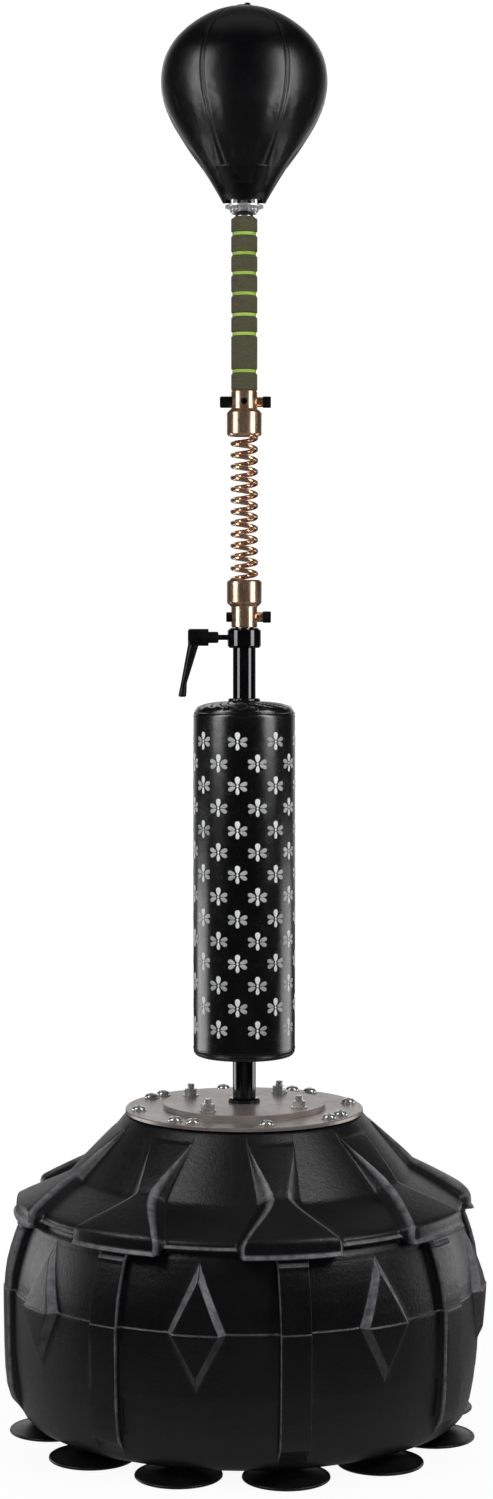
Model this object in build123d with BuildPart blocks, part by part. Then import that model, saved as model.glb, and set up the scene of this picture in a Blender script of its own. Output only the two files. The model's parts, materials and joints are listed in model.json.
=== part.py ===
from build123d import *
from math import cos, radians, sin
import os

os.makedirs("parts", exist_ok=True)

# A free-standing reflex bag: a water-filled round base on suction cups, a telescopic
# pole with a padded target sleeve, a coil-spring joint and a pear-shaped leather ball.
# Millimetres, +Z up, origin on the floor at the pole's axis. The clamp lever points to -X.

# ---------------------------------------------------------------- driving dimensions
# Ballast base
TANK_FLOOR = 14.0  # underside of the tank above the floor
TANK_RIM = 338.5  # flat rim that the lid plate is screwed to
TANK_R = 255.0  # wall between the ribs, at the parting line
TANK_WALL = 4.5
RIM_R = 131.0
MOUTH_R = 84.0
PARTING_Z = 158.0
PATTERN = -78.4  # direction of the first rib, in degrees from +X
RIB_COUNT = 8
RIB_WIDTH = 35.0
FILL_LEVEL = 262.0

# Suction cups
CUP_COUNT = 12
CUP_CIRCLE_R = 213.7
CUP_R = 45.5
CUP_LIP = 2.5
CUP_NECK_R = 7.5
CUP_NECK_TOP = 26.0
SOCKET_WALL = 3.5

# Lid plate, pole flange and their fasteners
GASKET = 1.5
PLATE_BOTTOM = TANK_RIM + GASKET
PLATE_TOP = 344.0
PLATE_BORE_R = 55.0
FLANGE_R = 89.5
FLANGE_TOP = 349.5
SCREW_CIRCLE_R = 118.0
SCREW_PAIR_ANGLE = 5.7  # each side of the diagonal
SCREW_R = 3.0
SCREW_LENGTH = 22.0
SCREW_CLEARANCE = 0.3
SCREW_HEAD = 4.5
INSERT_R = 5.5
INSERT_LENGTH = 18.0
BOSS_WALL = 3.5
WASHER_R = 8.5
WASHER = 1.0
STUD_CIRCLE_R = 71.7
STUD_R = 4.0
STUD_TOP = 363.0
FLANGE_WASHER_R = 9.0
FLANGE_WASHER = 1.4
NUT_HALF_WIDTH = 6.5  # half the width across flats
NUT_HEIGHT = 6.5

# Telescopic pole
POLE_R = 12.7
POLE_BORE_R = 11.1
POLE_TOP = 872.6
TUBE_R = 10.0
TUBE_BORE_R = 8.2
TUBE_BOTTOM = 440.0
TUBE_TOP = 899.0
FOOT_RING_R = 17.5
FOOT_RING_HEIGHT = 5.0
GUIDE_LENGTH = 40.0
FOOT_BUSH_LENGTH = 28.0
RUNNING = 0.05  # radial clearance of the sliding and turning fits

# Padded target sleeve
TARGET_R = 56.0
TARGET_BOTTOM = 400.0
TARGET_TOP = 793.0
COVER = 2.5
FOAM_R = TARGET_R - COVER
FOAM_BOTTOM = TARGET_BOTTOM + COVER
LINER_R = 15.0
LINER_INSET = 4.0
TOP_RING_R = 18.0
TOP_RING = 2.5
TOP_RING_SINK = 0.4

# Clamp collar and its adjustable lever, which lie along -X
COLLAR_R = 18.6
COLLAR_BOTTOM = 850.5
LEVER_Z = 862.3
CLAMP_STUD_R = 3.0
CLAMP_STUD_END = 48.0
PAD_INNER = TUBE_R + 0.4
PAD_OUTER = TUBE_R + 4.3
GRUB_R = 2.5
GRUB_DEPTH = 0.6
SERRATED_R = 6.35
SERRATED_LENGTH = 11.0
HUB_R = 9.5
HUB_INNER = 39.4
HUB_OUTER = 62.2
BOSS_R = 5.5
BOSS_END = 51.0
CAP_HEAD_R = 4.2
CAP_HEAD = 2.8
CAP_SCREW_R = 2.0
CAP_RECESS = 0.4
CAP_FLOOR = 53.0
# sections of the lever's arm: x, z and the two radii of an ellipse
ARM_ROOT = (-54.2, LEVER_Z, 6.6, 6.2)
ARM_WRIST = (-66.6, 812.0, 3.4, 4.2)
ARM_TIP = (-68.6, 796.5, 4.6, 4.9)

# Spring joint
SPRING_R = 15.6
WIRE_R = 2.75
SPRING_PITCH = 12.5
SPRING_BOTTOM = 912.0
SPRING_TOP = 1097.0
POCKET_R = 16.0
FERRULE_R = 19.4
NECK_R = 14.5
LOWER_NECK_BOTTOM = 873.0
LOWER_FERRULE_TOP = 925.5
UPPER_FERRULE_BOTTOM = 1084.6
UPPER_NECK_TOP = 1134.3
LOWER_BOLT_Z = 884.7
UPPER_BOLT_Z = 1122.0
BOLT_R = 4.0
BOLT_HEAD_R = 6.4
BOLT_HEAD = 8.9
BOLT_SEAT = 20.6  # how far the boss under the head stands from the axis
BOLT_BOSS_R = 5.5
LOWER_BOLT_END = 19.0
UPPER_BOLT_END = 24.0
SET_SCREW_R = 3.5
SET_SCREW_LENGTH = 5.5

# Grip on the upper rod
ROD_BORE_R = 8.0
ROD_BOTTOM = 1106.0
ROD_TOP = 1327.0
GRIP_R = 14.85
GRIP_BOTTOM = 1134.5
GRIP_TOP = 1326.5
BAND_HEIGHT = 3.4
BAND_R = 13.3
BAND_SEAT_R = 12.2
BAND_HEIGHTS = (1155.6, 1196.6, 1217.7, 1240.9, 1263.4, 1285.3, 1307.0)

# Ball and its mounting
BALL_R = 90.6
BALL_WIDEST_Z = 1476.0
BALL_TOP = 1560.0
BOOT_TOP = 1377.0
BOOT_TOP_R = 43.5
BOOT_BOTTOM = 1341.5
BOOT_BOTTOM_R = 22.3
BOOT_FLOOR = 1344.0
SKIN = 2.5
MOUNT_STUD_R = 4.0
MOUNT_FLANGE_R = 21.5
MOUNT_FLANGE_BOTTOM = 1336.5
MOUNT_FLANGE_TOP = 1338.5
MOUNT_BOLT_R = 2.5
MOUNT_BOLT_SPACING = 22.0
MOUNT_BOLT_BOTTOM = 1333.0
MOUNT_BOLT_TOP = 1352.0
MOUNT_STUD_BOTTOM = 1312.0
MOUNT_STUD_TOP = 1354.0
SPACER_R = 4.0
BACKING_R = 20.0
BACKING = 3.0
VALVE_X = 3.5
VALVE_R = 3.4
VALVE_BOTTOM = 1552.0
VALVE_TOP = 1563.0
VALVE_HOLE_DEPTH = 20.0

BASE_UP = (Align.CENTER, Align.CENTER, Align.MIN)
TOP_DOWN = (Align.CENTER, Align.CENTER, Align.MAX)

# Angles of the twelve lid screws: four singles on the pattern and four diagonal pairs
screw_angles = []
for quarter in range(4):
    single = PATTERN + 90 * quarter
    screw_angles += [single, single + 45 - SCREW_PAIR_ANGLE, single + 45 + SCREW_PAIR_ANGLE]
screw_points = [
    (SCREW_CIRCLE_R * cos(radians(a)), SCREW_CIRCLE_R * sin(radians(a))) for a in screw_angles
]


# ---------------------------------------------------------------- ballast base
# One vertical rib: flat across, following the wall's taper from foot to tab.
with BuildPart() as rib:
    with BuildSketch(Plane.XZ):
        with BuildLine():
            face_line = FilletPolyline(
                (243, 26), (256, 50), (TANK_R + 10, 92), (TANK_R + 10, 150), (247, 234), radius=14
            )
            Polyline(face_line @ 1, (236, 234), (252, PARTING_Z), (252, 90), (243, 40), face_line @ 0)
        make_face()
    extrude(amount=RIB_WIDTH / 2, both=True)

# One raised diamond between two ribs, cut from a skin that follows the wall.
with BuildPart() as diamond:
    with BuildSketch(Plane.XZ):
        with BuildLine():
            Polyline(
                (TANK_R + 7, 90), (TANK_R + 10, PARTING_Z), (248, 236), (238, 236),
                (252, PARTING_Z), (252, 90), close=True,
            )
        make_face()
    revolve(axis=Axis.Z)
    with BuildSketch(Plane.YZ):
        with BuildLine():
            Polyline((0, 98), (31.5, PARTING_Z), (0, 227), (-31.5, PARTING_Z), close=True)
        make_face()
    extrude(amount=TANK_R + 20, mode=Mode.INTERSECT)

# One raised arm: an hourglass in plan, from the lid down over the shoulder to a wide tab.
with BuildPart() as arm:
    with BuildSketch(Plane.XZ):
        with BuildLine():
            Polyline(
                (139, 336), (186, 280), (226, 256), (244, 243), (250, 231), (239, 231),
                (228, 240), (178, 275), (132, 332), close=True,
            )
        make_face()
    revolve(axis=Axis.Z)
    with BuildSketch(Plane.XY.offset(225)):
        with BuildLine():
            upper = Polyline((130, 26), (178, 8), (232, 55), (262, 55))
            mirror(upper, about=Plane.XZ)
            Line(upper @ 0, (130, -26))
            Line(upper @ 1, (262, -55))
        make_face()
    extrude(amount=120, mode=Mode.INTERSECT)

# The blow-moulded tank: a turned shell with a mouth under the lid, ribs, diamonds and
# arms outside, screw bosses under the rim and blind sockets for the suction cups.
with BuildPart() as base_tank:
    with BuildSketch(Plane.XZ):
        with BuildLine():
            FilletPolyline(
                (0, TANK_FLOOR), (243, TANK_FLOOR), (248, 41), (TANK_R, 87), (TANK_R, PARTING_Z),
                (233, 240.5), (179, 278), (RIM_R, TANK_RIM), (MOUTH_R, TANK_RIM),
                radius=[20, 30, 60, 60, 22, 12, 5],
            )
            offset(amount=TANK_WALL, side=Side.LEFT)
        make_face()
    revolve(axis=Axis.Z)
    with PolarLocations(0, RIB_COUNT, start_angle=PATTERN):
        add(rib.part)
        add(arm.part)
    with PolarLocations(0, RIB_COUNT, start_angle=PATTERN + 180 / RIB_COUNT):
        add(diamond.part)
    with Locations(*[(x, y, TANK_RIM - 1) for x, y in screw_points]):
        Cylinder(INSERT_R + BOSS_WALL, INSERT_LENGTH + BOSS_WALL, align=TOP_DOWN)
    with Locations(*[(x, y, TANK_RIM) for x, y in screw_points]):
        Cylinder(INSERT_R, INSERT_LENGTH, align=TOP_DOWN, mode=Mode.SUBTRACT)
    with PolarLocations(CUP_CIRCLE_R, CUP_COUNT, start_angle=PATTERN):
        with Locations((0, 0, TANK_FLOOR + 1)):
            Cylinder(CUP_NECK_R + SOCKET_WALL, CUP_NECK_TOP - TANK_FLOOR + SOCKET_WALL, align=BASE_UP)
        with Locations((0, 0, TANK_FLOOR)):
            Cylinder(CUP_NECK_R, CUP_NECK_TOP - TANK_FLOOR + 0.5, align=BASE_UP, mode=Mode.SUBTRACT)

with BuildPart() as water_fill:
    with BuildSketch(Plane.XZ):
        with BuildLine():
            Polyline(
                (0, 20), (222, 20), (238, 46), (246, 90), (246, 156), (224, 232),
                (186, FILL_LEVEL), (0, FILL_LEVEL), close=True,
            )
        make_face()
    revolve(axis=Axis.Z)
    with PolarLocations(CUP_CIRCLE_R, CUP_COUNT, start_angle=PATTERN):
        with Locations((0, 0, 19)):
            Cylinder(12, 13, align=BASE_UP, mode=Mode.SUBTRACT)

# Rubber cups: a thin bell with a flat lip and a neck that presses into its socket.
with BuildPart() as cup:
    with BuildSketch(Plane.XZ):
        with BuildLine():
            Polyline(
                (CUP_R - CUP_LIP, 0), (CUP_R, 0), (CUP_R, 1.2), (30, 5.5), (14, 9.5),
                (10, TANK_FLOOR), (CUP_NECK_R, TANK_FLOOR), (CUP_NECK_R, CUP_NECK_TOP),
                (0, CUP_NECK_TOP), (0, 6.5), (12, 6), (28, 3), close=True,
            )
        make_face()
    revolve(axis=Axis.Z)

with BuildPart() as suction_cups:
    with PolarLocations(CUP_CIRCLE_R, CUP_COUNT, start_angle=PATTERN):
        add(cup.part)


# ---------------------------------------------------------------- lid and pole flange
with BuildPart() as lid_gasket:
    with BuildSketch(Plane.XY.offset(TANK_RIM)):
        Circle(RIM_R - 5)
        Circle(MOUTH_R + 2, mode=Mode.SUBTRACT)
        with Locations(*screw_points):
            Circle(SCREW_R + SCREW_CLEARANCE, mode=Mode.SUBTRACT)
    extrude(amount=GASKET)

with BuildPart() as lid_plate:
    with BuildSketch(Plane.XY.offset(PLATE_BOTTOM)):
        Circle(RIM_R)
        Circle(PLATE_BORE_R, mode=Mode.SUBTRACT)
        with Locations(*screw_points):
            Circle(SCREW_R + SCREW_CLEARANCE, mode=Mode.SUBTRACT)
        with PolarLocations(STUD_CIRCLE_R, 4, start_angle=PATTERN + 45):
            Circle(STUD_R, mode=Mode.SUBTRACT)
    extrude(amount=PLATE_TOP - PLATE_BOTTOM)
    chamfer(lid_plate.faces().sort_by(Axis.Z)[-1].outer_wire().edges(), 0.8)

with BuildPart() as lid_inserts:
    with Locations(*[(x, y, TANK_RIM) for x, y in screw_points]):
        Cylinder(INSERT_R, INSERT_LENGTH, align=TOP_DOWN)
        Cylinder(SCREW_R, INSERT_LENGTH, align=TOP_DOWN, mode=Mode.SUBTRACT)

with BuildPart() as lid_washers:
    with Locations(*[(x, y, PLATE_TOP) for x, y in screw_points]):
        Cylinder(WASHER_R, WASHER, align=BASE_UP)
        Cylinder(SCREW_R + SCREW_CLEARANCE, WASHER, align=BASE_UP, mode=Mode.SUBTRACT)

# Button-head screw with a hexagon socket, origin under its head
with BuildPart() as button_screw:
    with BuildSketch(Plane.XZ):
        with BuildLine():
            head_top = Line((0, SCREW_HEAD), (3.4, SCREW_HEAD))
            head_dome = ThreePointArc(head_top @ 1, (6.4, 2.9), (7.5, 0))
            Polyline(
                head_dome @ 1, (SCREW_R, 0), (SCREW_R, -SCREW_LENGTH), (0, -SCREW_LENGTH), head_top @ 0
            )
        make_face()
    revolve(axis=Axis.Z)
    with BuildSketch(Plane.XY.offset(SCREW_HEAD)):
        RegularPolygon(2.3, 6)
    extrude(amount=-2.8, mode=Mode.SUBTRACT)

with BuildPart() as lid_screws:
    with Locations(*[(x, y, PLATE_TOP + WASHER) for x, y in screw_points]):
        add(button_screw.part)

with BuildPart() as pole_flange:
    with BuildSketch(Plane.XY.offset(PLATE_TOP)):
        Circle(FLANGE_R)
        Circle(POLE_R, mode=Mode.SUBTRACT)
        with PolarLocations(STUD_CIRCLE_R, 4, start_angle=PATTERN + 45):
            Circle(STUD_R + SCREW_CLEARANCE, mode=Mode.SUBTRACT)
    extrude(amount=FLANGE_TOP - PLATE_TOP)
    chamfer(pole_flange.faces().sort_by(Axis.Z)[-1].outer_wire().edges(), 0.8)

with BuildPart() as flange_studs:
    with PolarLocations(STUD_CIRCLE_R, 4, start_angle=PATTERN + 45):
        with Locations((0, 0, PLATE_BOTTOM)):
            Cylinder(STUD_R, STUD_TOP - PLATE_BOTTOM, align=BASE_UP)
    chamfer(flange_studs.faces().group_by(Axis.Z)[-1].edges(), 0.8)

with BuildPart() as flange_washers:
    with PolarLocations(STUD_CIRCLE_R, 4, start_angle=PATTERN + 45):
        with Locations((0, 0, FLANGE_TOP)):
            Cylinder(FLANGE_WASHER_R, FLANGE_WASHER, align=BASE_UP)
            Cylinder(STUD_R + SCREW_CLEARANCE, FLANGE_WASHER, align=BASE_UP, mode=Mode.SUBTRACT)

with BuildPart() as flange_nuts:
    with BuildSketch(Plane.XY.offset(FLANGE_TOP + FLANGE_WASHER)):
        with PolarLocations(STUD_CIRCLE_R, 4, start_angle=PATTERN + 45):
            RegularPolygon(NUT_HALF_WIDTH, 6, major_radius=False)
            Circle(STUD_R, mode=Mode.SUBTRACT)
    extrude(amount=NUT_HEIGHT)

with BuildPart() as pole_foot_ring:
    with BuildSketch(Plane.XY.offset(FLANGE_TOP)):
        Circle(FOOT_RING_R)
        Circle(POLE_R, mode=Mode.SUBTRACT)
    extrude(amount=FOOT_RING_HEIGHT)
    chamfer(pole_foot_ring.faces().sort_by(Axis.Z)[-1].outer_wire().edges(), 1.5)


# ---------------------------------------------------------------- outer pole and target
with BuildPart() as outer_pole:
    with BuildSketch(Plane.XY.offset(PLATE_TOP)):
        Circle(POLE_R)
        Circle(POLE_BORE_R, mode=Mode.SUBTRACT)
    extrude(amount=POLE_TOP - PLATE_TOP)
    with BuildSketch(Plane.YZ.offset(-POLE_R - 1)):
        with Locations((0, LEVER_Z)):
            Circle(CLAMP_STUD_R + RUNNING)
    extrude(amount=POLE_R + 1, mode=Mode.SUBTRACT)

with BuildPart() as guide_bush:
    with BuildSketch(Plane.XY.offset(POLE_TOP - GUIDE_LENGTH)):
        Circle(POLE_BORE_R)
        Circle(TUBE_R + RUNNING, mode=Mode.SUBTRACT)
    extrude(amount=GUIDE_LENGTH)
    with BuildSketch(Plane.YZ.offset(-POLE_R)):
        with Locations((0, LEVER_Z)):
            Circle(CLAMP_STUD_R + RUNNING)
    extrude(amount=POLE_R, mode=Mode.SUBTRACT)

with BuildPart() as target_liner:
    with BuildSketch(Plane.XY.offset(TARGET_BOTTOM + LINER_INSET)):
        Circle(LINER_R)
        Circle(POLE_R, mode=Mode.SUBTRACT)
    extrude(amount=TARGET_TOP - TARGET_BOTTOM - 2 * LINER_INSET)

with BuildPart() as target_foam:
    with BuildSketch(Plane.XZ):
        with BuildLine():
            crown = ThreePointArc((FOAM_R - 2, 778), (38, 786), (LINER_R, 789))
            Polyline(
                crown @ 1, (LINER_R, FOAM_BOTTOM), (FOAM_R - 6, FOAM_BOTTOM),
                (FOAM_R, FOAM_BOTTOM + 6), (FOAM_R, 775), crown @ 0,
            )
        make_face()
    revolve(axis=Axis.Z)

# The sewn cover: one skin round the foam, open only where the liner passes.
with BuildPart() as target_cover:
    with BuildSketch(Plane.XZ):
        with BuildLine():
            hem = FilletPolyline(
                (LINER_R, TARGET_BOTTOM), (TARGET_R, TARGET_BOTTOM), (TARGET_R, 777), radius=7
            )
            shoulder = ThreePointArc((TARGET_R, 777), (TARGET_R - 1.5, 781), (TARGET_R - 5, 783.5))
            dome = ThreePointArc(shoulder @ 1, (36, 789.6), (LINER_R, TARGET_TOP - 1))
            inner_dome = ThreePointArc((LINER_R, 789), (38, 786), (FOAM_R - 2, 778))
            Line(dome @ 1, inner_dome @ 0)
            Polyline(
                inner_dome @ 1, (FOAM_R, 775), (FOAM_R, FOAM_BOTTOM + 6),
                (FOAM_R - 6, FOAM_BOTTOM), (LINER_R, FOAM_BOTTOM), hem @ 0,
            )
        make_face()
    revolve(axis=Axis.Z)

with BuildPart() as target_top_ring:
    with BuildSketch(Plane.XY.offset(TARGET_TOP - TOP_RING_SINK)):
        Circle(TOP_RING_R)
        Circle(POLE_R, mode=Mode.SUBTRACT)
    extrude(amount=TOP_RING)
    chamfer(target_top_ring.faces().sort_by(Axis.Z)[-1].outer_wire().edges(), 1)


# ---------------------------------------------------------------- clamp
with BuildPart() as clamp_collar:
    with BuildSketch(Plane.XY.offset(COLLAR_BOTTOM)):
        Circle(COLLAR_R)
        Circle(POLE_R, mode=Mode.SUBTRACT)
    extrude(amount=POLE_TOP - COLLAR_BOTTOM)
    chamfer(clamp_collar.faces().sort_by(Axis.Z)[-1].outer_wire().edges(), 2.5)
    chamfer(clamp_collar.faces().sort_by(Axis.Z)[0].outer_wire().edges(), 2.5)
    with BuildSketch(Plane.YZ.offset(-COLLAR_R - 1)):
        with Locations((0, LEVER_Z)):
            Circle(CLAMP_STUD_R + RUNNING)
    extrude(amount=COLLAR_R, mode=Mode.SUBTRACT)
    with BuildSketch(Plane.XZ.offset(-COLLAR_R - 1)):
        with Locations((0, LEVER_Z)):
            Circle(GRUB_R)
    extrude(amount=COLLAR_R, mode=Mode.SUBTRACT)

with BuildPart() as collar_grub_screw:
    with BuildSketch(Plane.XZ.offset(-COLLAR_R + GRUB_DEPTH)):
        with Locations((0, LEVER_Z)):
            Circle(GRUB_R)
            RegularPolygon(1.2, 6, mode=Mode.SUBTRACT)
    extrude(amount=COLLAR_R - GRUB_DEPTH - POLE_R)

# A soft-metal pad that the lever's stud presses on the inner tube
with BuildPart() as clamp_pad:
    with BuildSketch(Plane.YZ.offset(-PAD_OUTER)):
        with Locations((0, LEVER_Z)):
            Circle(CLAMP_STUD_R)
    extrude(amount=PAD_OUTER - PAD_INNER)

with BuildPart() as lever_stud:
    with BuildSketch(Plane.YZ.offset(-CLAMP_STUD_END)):
        with Locations((0, LEVER_Z)):
            Circle(CLAMP_STUD_R)
    extrude(amount=CLAMP_STUD_END - PAD_OUTER - RUNNING)
    chamfer(lever_stud.faces().sort_by(Axis.X)[-1].edges(), 0.6)

with BuildPart() as lever_insert:
    with BuildSketch(Plane.YZ.offset(-HUB_INNER)):
        with Locations((0, LEVER_Z)):
            Circle(SERRATED_R)
    extrude(amount=SERRATED_LENGTH)
    chamfer(lever_insert.faces().sort_by(Axis.X)[-1].edges(), 1.2)
    with BuildSketch(Plane.YZ.offset(-BOSS_END)):
        with Locations((0, LEVER_Z)):
            Circle(BOSS_R)
    extrude(amount=BOSS_END - HUB_INNER)
    with BuildSketch(Plane.YZ.offset(-BOSS_END)):
        with Locations((0, LEVER_Z)):
            Circle(CAP_SCREW_R)
    extrude(amount=BOSS_END - CLAMP_STUD_END, mode=Mode.SUBTRACT)
    with BuildSketch(Plane.YZ.offset(-CLAMP_STUD_END)):
        with Locations((0, LEVER_Z)):
            Circle(CLAMP_STUD_R)
    extrude(amount=CLAMP_STUD_END, mode=Mode.SUBTRACT)

with BuildPart() as lever_cap_screw:
    with BuildSketch(Plane.YZ.offset(-HUB_OUTER + CAP_RECESS)):
        with Locations((0, LEVER_Z)):
            Circle(CAP_HEAD_R)
    extrude(amount=CAP_HEAD)
    with BuildSketch(Plane.YZ.offset(-HUB_OUTER + CAP_RECESS + CAP_HEAD)):
        with Locations((0, LEVER_Z)):
            Circle(CAP_SCREW_R)
    extrude(amount=HUB_OUTER - CAP_RECESS - CAP_HEAD - CLAMP_STUD_END - RUNNING)
    with BuildSketch(Plane.YZ.offset(-HUB_OUTER + CAP_RECESS)):
        with Locations((0, LEVER_Z)):
            RegularPolygon(1.6, 6)
    extrude(amount=CAP_HEAD / 2, mode=Mode.SUBTRACT)

# Small compression spring that seats the lever on its serrated boss
with BuildPart() as lever_return_spring:
    with BuildLine() as lever_coil:
        Helix(pitch=1.35, height=4.6, radius=3.1, center=(-58.2, 0, LEVER_Z), direction=(1, 0, 0))
    with BuildSketch(Plane(origin=lever_coil.line @ 0, z_dir=lever_coil.line % 0)):
        Circle(0.35)
    sweep(path=lever_coil.line, is_frenet=True)

# The die-cast lever: a hub on the stud's axis and an arm that leans outwards.
with BuildPart() as lever_handle:
    with BuildSketch(Plane.YZ.offset(-HUB_OUTER)):
        with Locations((0, LEVER_Z)):
            Circle(HUB_R)
    extrude(amount=HUB_OUTER - HUB_INNER)
    chamfer(lever_handle.faces().sort_by(Axis.X)[0].edges(), 1.6)
    for low, high in ((ARM_TIP, ARM_WRIST), (ARM_WRIST, ARM_ROOT)):
        with BuildSketch(Plane.XY.offset(low[1])):
            with Locations((low[0], 0)):
                Ellipse(low[2], low[3])
        with BuildSketch(Plane.XY.offset(high[1])):
            with Locations((high[0], 0)):
                Ellipse(high[2], high[3])
        loft()
    fillet(lever_handle.faces().sort_by(Axis.Z)[0].edges(), 2)
    with BuildSketch(Plane.YZ.offset(-BOSS_END - 0.2)):
        with Locations((0, LEVER_Z)):
            Circle(BOSS_R + RUNNING)
    extrude(amount=BOSS_END, mode=Mode.SUBTRACT)
    with BuildSketch(Plane.YZ.offset(-CAP_FLOOR)):
        with Locations((0, LEVER_Z)):
            Circle(CAP_HEAD_R + 2 * RUNNING)
    extrude(amount=-CAP_FLOOR, mode=Mode.SUBTRACT)
    with BuildSketch(Plane.YZ.offset(-CAP_FLOOR)):
        with Locations((0, LEVER_Z)):
            Circle(CAP_SCREW_R + RUNNING)
    extrude(amount=CAP_FLOOR, mode=Mode.SUBTRACT)


# ---------------------------------------------------------------- inner tube and couplers
with BuildPart() as inner_tube:
    with BuildSketch(Plane.XY.offset(TUBE_BOTTOM)):
        Circle(TUBE_R)
        Circle(TUBE_BORE_R, mode=Mode.SUBTRACT)
    extrude(amount=TUBE_TOP - TUBE_BOTTOM)
    with BuildSketch(Plane.YZ.offset(-TUBE_R - 1)):
        with Locations((0, LOWER_BOLT_Z)):
            Circle(BOLT_R)
    extrude(amount=2 * TUBE_R + 2, mode=Mode.SUBTRACT)

with BuildPart() as tube_foot_bush:
    with BuildSketch(Plane.XY.offset(TUBE_BOTTOM)):
        Circle(POLE_BORE_R - RUNNING)
        Circle(TUBE_R, mode=Mode.SUBTRACT)
    extrude(amount=FOOT_BUSH_LENGTH)

# Lower coupler: socket for the tube below, pocket for the spring's last coil above
with BuildPart() as lower_coupler:
    with BuildSketch(Plane.XZ):
        with BuildLine():
            Polyline(
                (TUBE_R, LOWER_NECK_BOTTOM), (NECK_R - 1, LOWER_NECK_BOTTOM),
                (NECK_R, LOWER_NECK_BOTTOM + 1), (NECK_R, 896), (FERRULE_R - 1.5, 899),
                (FERRULE_R, 901), (FERRULE_R, LOWER_FERRULE_TOP - 2),
                (FERRULE_R - 1.6, LOWER_FERRULE_TOP), (POCKET_R, LOWER_FERRULE_TOP),
                (POCKET_R, SPRING_BOTTOM), (0, SPRING_BOTTOM), (0, TUBE_TOP), (TUBE_R, TUBE_TOP),
                close=True,
            )
        make_face()
    revolve(axis=Axis.Z)
    with BuildSketch(Plane.YZ.offset(TUBE_R + 1.5)):
        with Locations((0, LOWER_BOLT_Z)):
            Circle(BOLT_BOSS_R)
    extrude(amount=BOLT_SEAT - TUBE_R - 1.5)
    with BuildSketch(Plane.YZ.offset(-BOLT_SEAT)):
        with Locations((0, LOWER_BOLT_Z)):
            Circle(BOLT_R)
    extrude(amount=2 * BOLT_SEAT, mode=Mode.SUBTRACT)

# Upper coupler: the same turned the other way up, and a set screw at its front
with BuildPart() as upper_coupler:
    with BuildSketch(Plane.XZ):
        with BuildLine():
            Polyline(
                (TUBE_R, UPPER_NECK_TOP), (NECK_R - 1, UPPER_NECK_TOP), (NECK_R, UPPER_NECK_TOP - 1),
                (NECK_R, 1114.5), (FERRULE_R - 1.5, 1112), (FERRULE_R, 1110),
                (FERRULE_R, UPPER_FERRULE_BOTTOM + 2),
                (FERRULE_R - 1.6, UPPER_FERRULE_BOTTOM), (POCKET_R, UPPER_FERRULE_BOTTOM),
                (POCKET_R, SPRING_TOP), (0, SPRING_TOP), (0, ROD_BOTTOM), (TUBE_R, ROD_BOTTOM), close=True,
            )
        make_face()
    revolve(axis=Axis.Z)
    with BuildSketch(Plane.YZ.offset(TUBE_R + 1.5)):
        with Locations((0, UPPER_BOLT_Z)):
            Circle(BOLT_BOSS_R)
    extrude(amount=BOLT_SEAT - TUBE_R - 1.5)
    with BuildSketch(Plane.YZ.offset(-BOLT_SEAT)):
        with Locations((0, UPPER_BOLT_Z)):
            Circle(BOLT_R)
    extrude(amount=2 * BOLT_SEAT, mode=Mode.SUBTRACT)
    with BuildSketch(Plane.XZ.offset(TUBE_R)):
        with Locations((0, UPPER_BOLT_Z)):
            Circle(SET_SCREW_R)
    extrude(amount=TUBE_R, mode=Mode.SUBTRACT)


def socket_bolt(height, end):
    """A cross bolt at a height: its shank ends at X = -end, its socket head is at the +X end."""
    with BuildPart() as bolt:
        with BuildSketch(Plane.YZ.offset(-end)):
            with Locations((0, height)):
                Circle(BOLT_R)
        extrude(amount=end + BOLT_SEAT)
        with BuildSketch(Plane.YZ.offset(BOLT_SEAT)):
            with Locations((0, height)):
                Circle(BOLT_HEAD_R)
        extrude(amount=BOLT_HEAD)
        chamfer(bolt.faces().sort_by(Axis.X)[-1].edges(), 0.7)
        with BuildSketch(Plane.YZ.offset(BOLT_SEAT + BOLT_HEAD)):
            with Locations((0, height)):
                RegularPolygon(3.4, 6)
        extrude(amount=-BOLT_HEAD / 2, mode=Mode.SUBTRACT)
    return bolt


lower_bolt = socket_bolt(LOWER_BOLT_Z, LOWER_BOLT_END)
upper_bolt = socket_bolt(UPPER_BOLT_Z, UPPER_BOLT_END)

with BuildPart() as lower_nut:
    with BuildSketch(Plane.YZ.offset(-LOWER_BOLT_END - 1)):
        with Locations((0, LOWER_BOLT_Z)):
            Circle(BOLT_BOSS_R)
            Circle(BOLT_R, mode=Mode.SUBTRACT)
    extrude(amount=LOWER_BOLT_END + 1 - NECK_R)
    chamfer(lower_nut.faces().sort_by(Axis.X)[0].outer_wire().edges(), 0.8)

with BuildPart() as upper_nut:
    with BuildSketch(Plane.YZ.offset(-UPPER_BOLT_END)):
        with Locations((0, UPPER_BOLT_Z)):
            Circle(BOLT_HEAD_R)
            Circle(BOLT_R, mode=Mode.SUBTRACT)
    extrude(amount=UPPER_BOLT_END - NECK_R)
    with BuildSketch(Plane.YZ.offset(-UPPER_BOLT_END)):
        with Locations((0, UPPER_BOLT_Z)):
            Circle(BOLT_HEAD_R)
    extrude(amount=-3)
    chamfer(upper_nut.faces().sort_by(Axis.X)[0].outer_wire().edges(), 1.2)

with BuildPart() as upper_set_screw:
    with BuildSketch(Plane.XZ.offset(TUBE_R)):
        with Locations((0, UPPER_BOLT_Z)):
            Circle(SET_SCREW_R)
    extrude(amount=SET_SCREW_LENGTH)
    with BuildSketch(Plane.XZ.offset(TUBE_R + SET_SCREW_LENGTH)):
        with Locations((0, UPPER_BOLT_Z)):
            RegularPolygon(1.8, 6)
    extrude(amount=-SET_SCREW_LENGTH / 2, mode=Mode.SUBTRACT)

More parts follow.
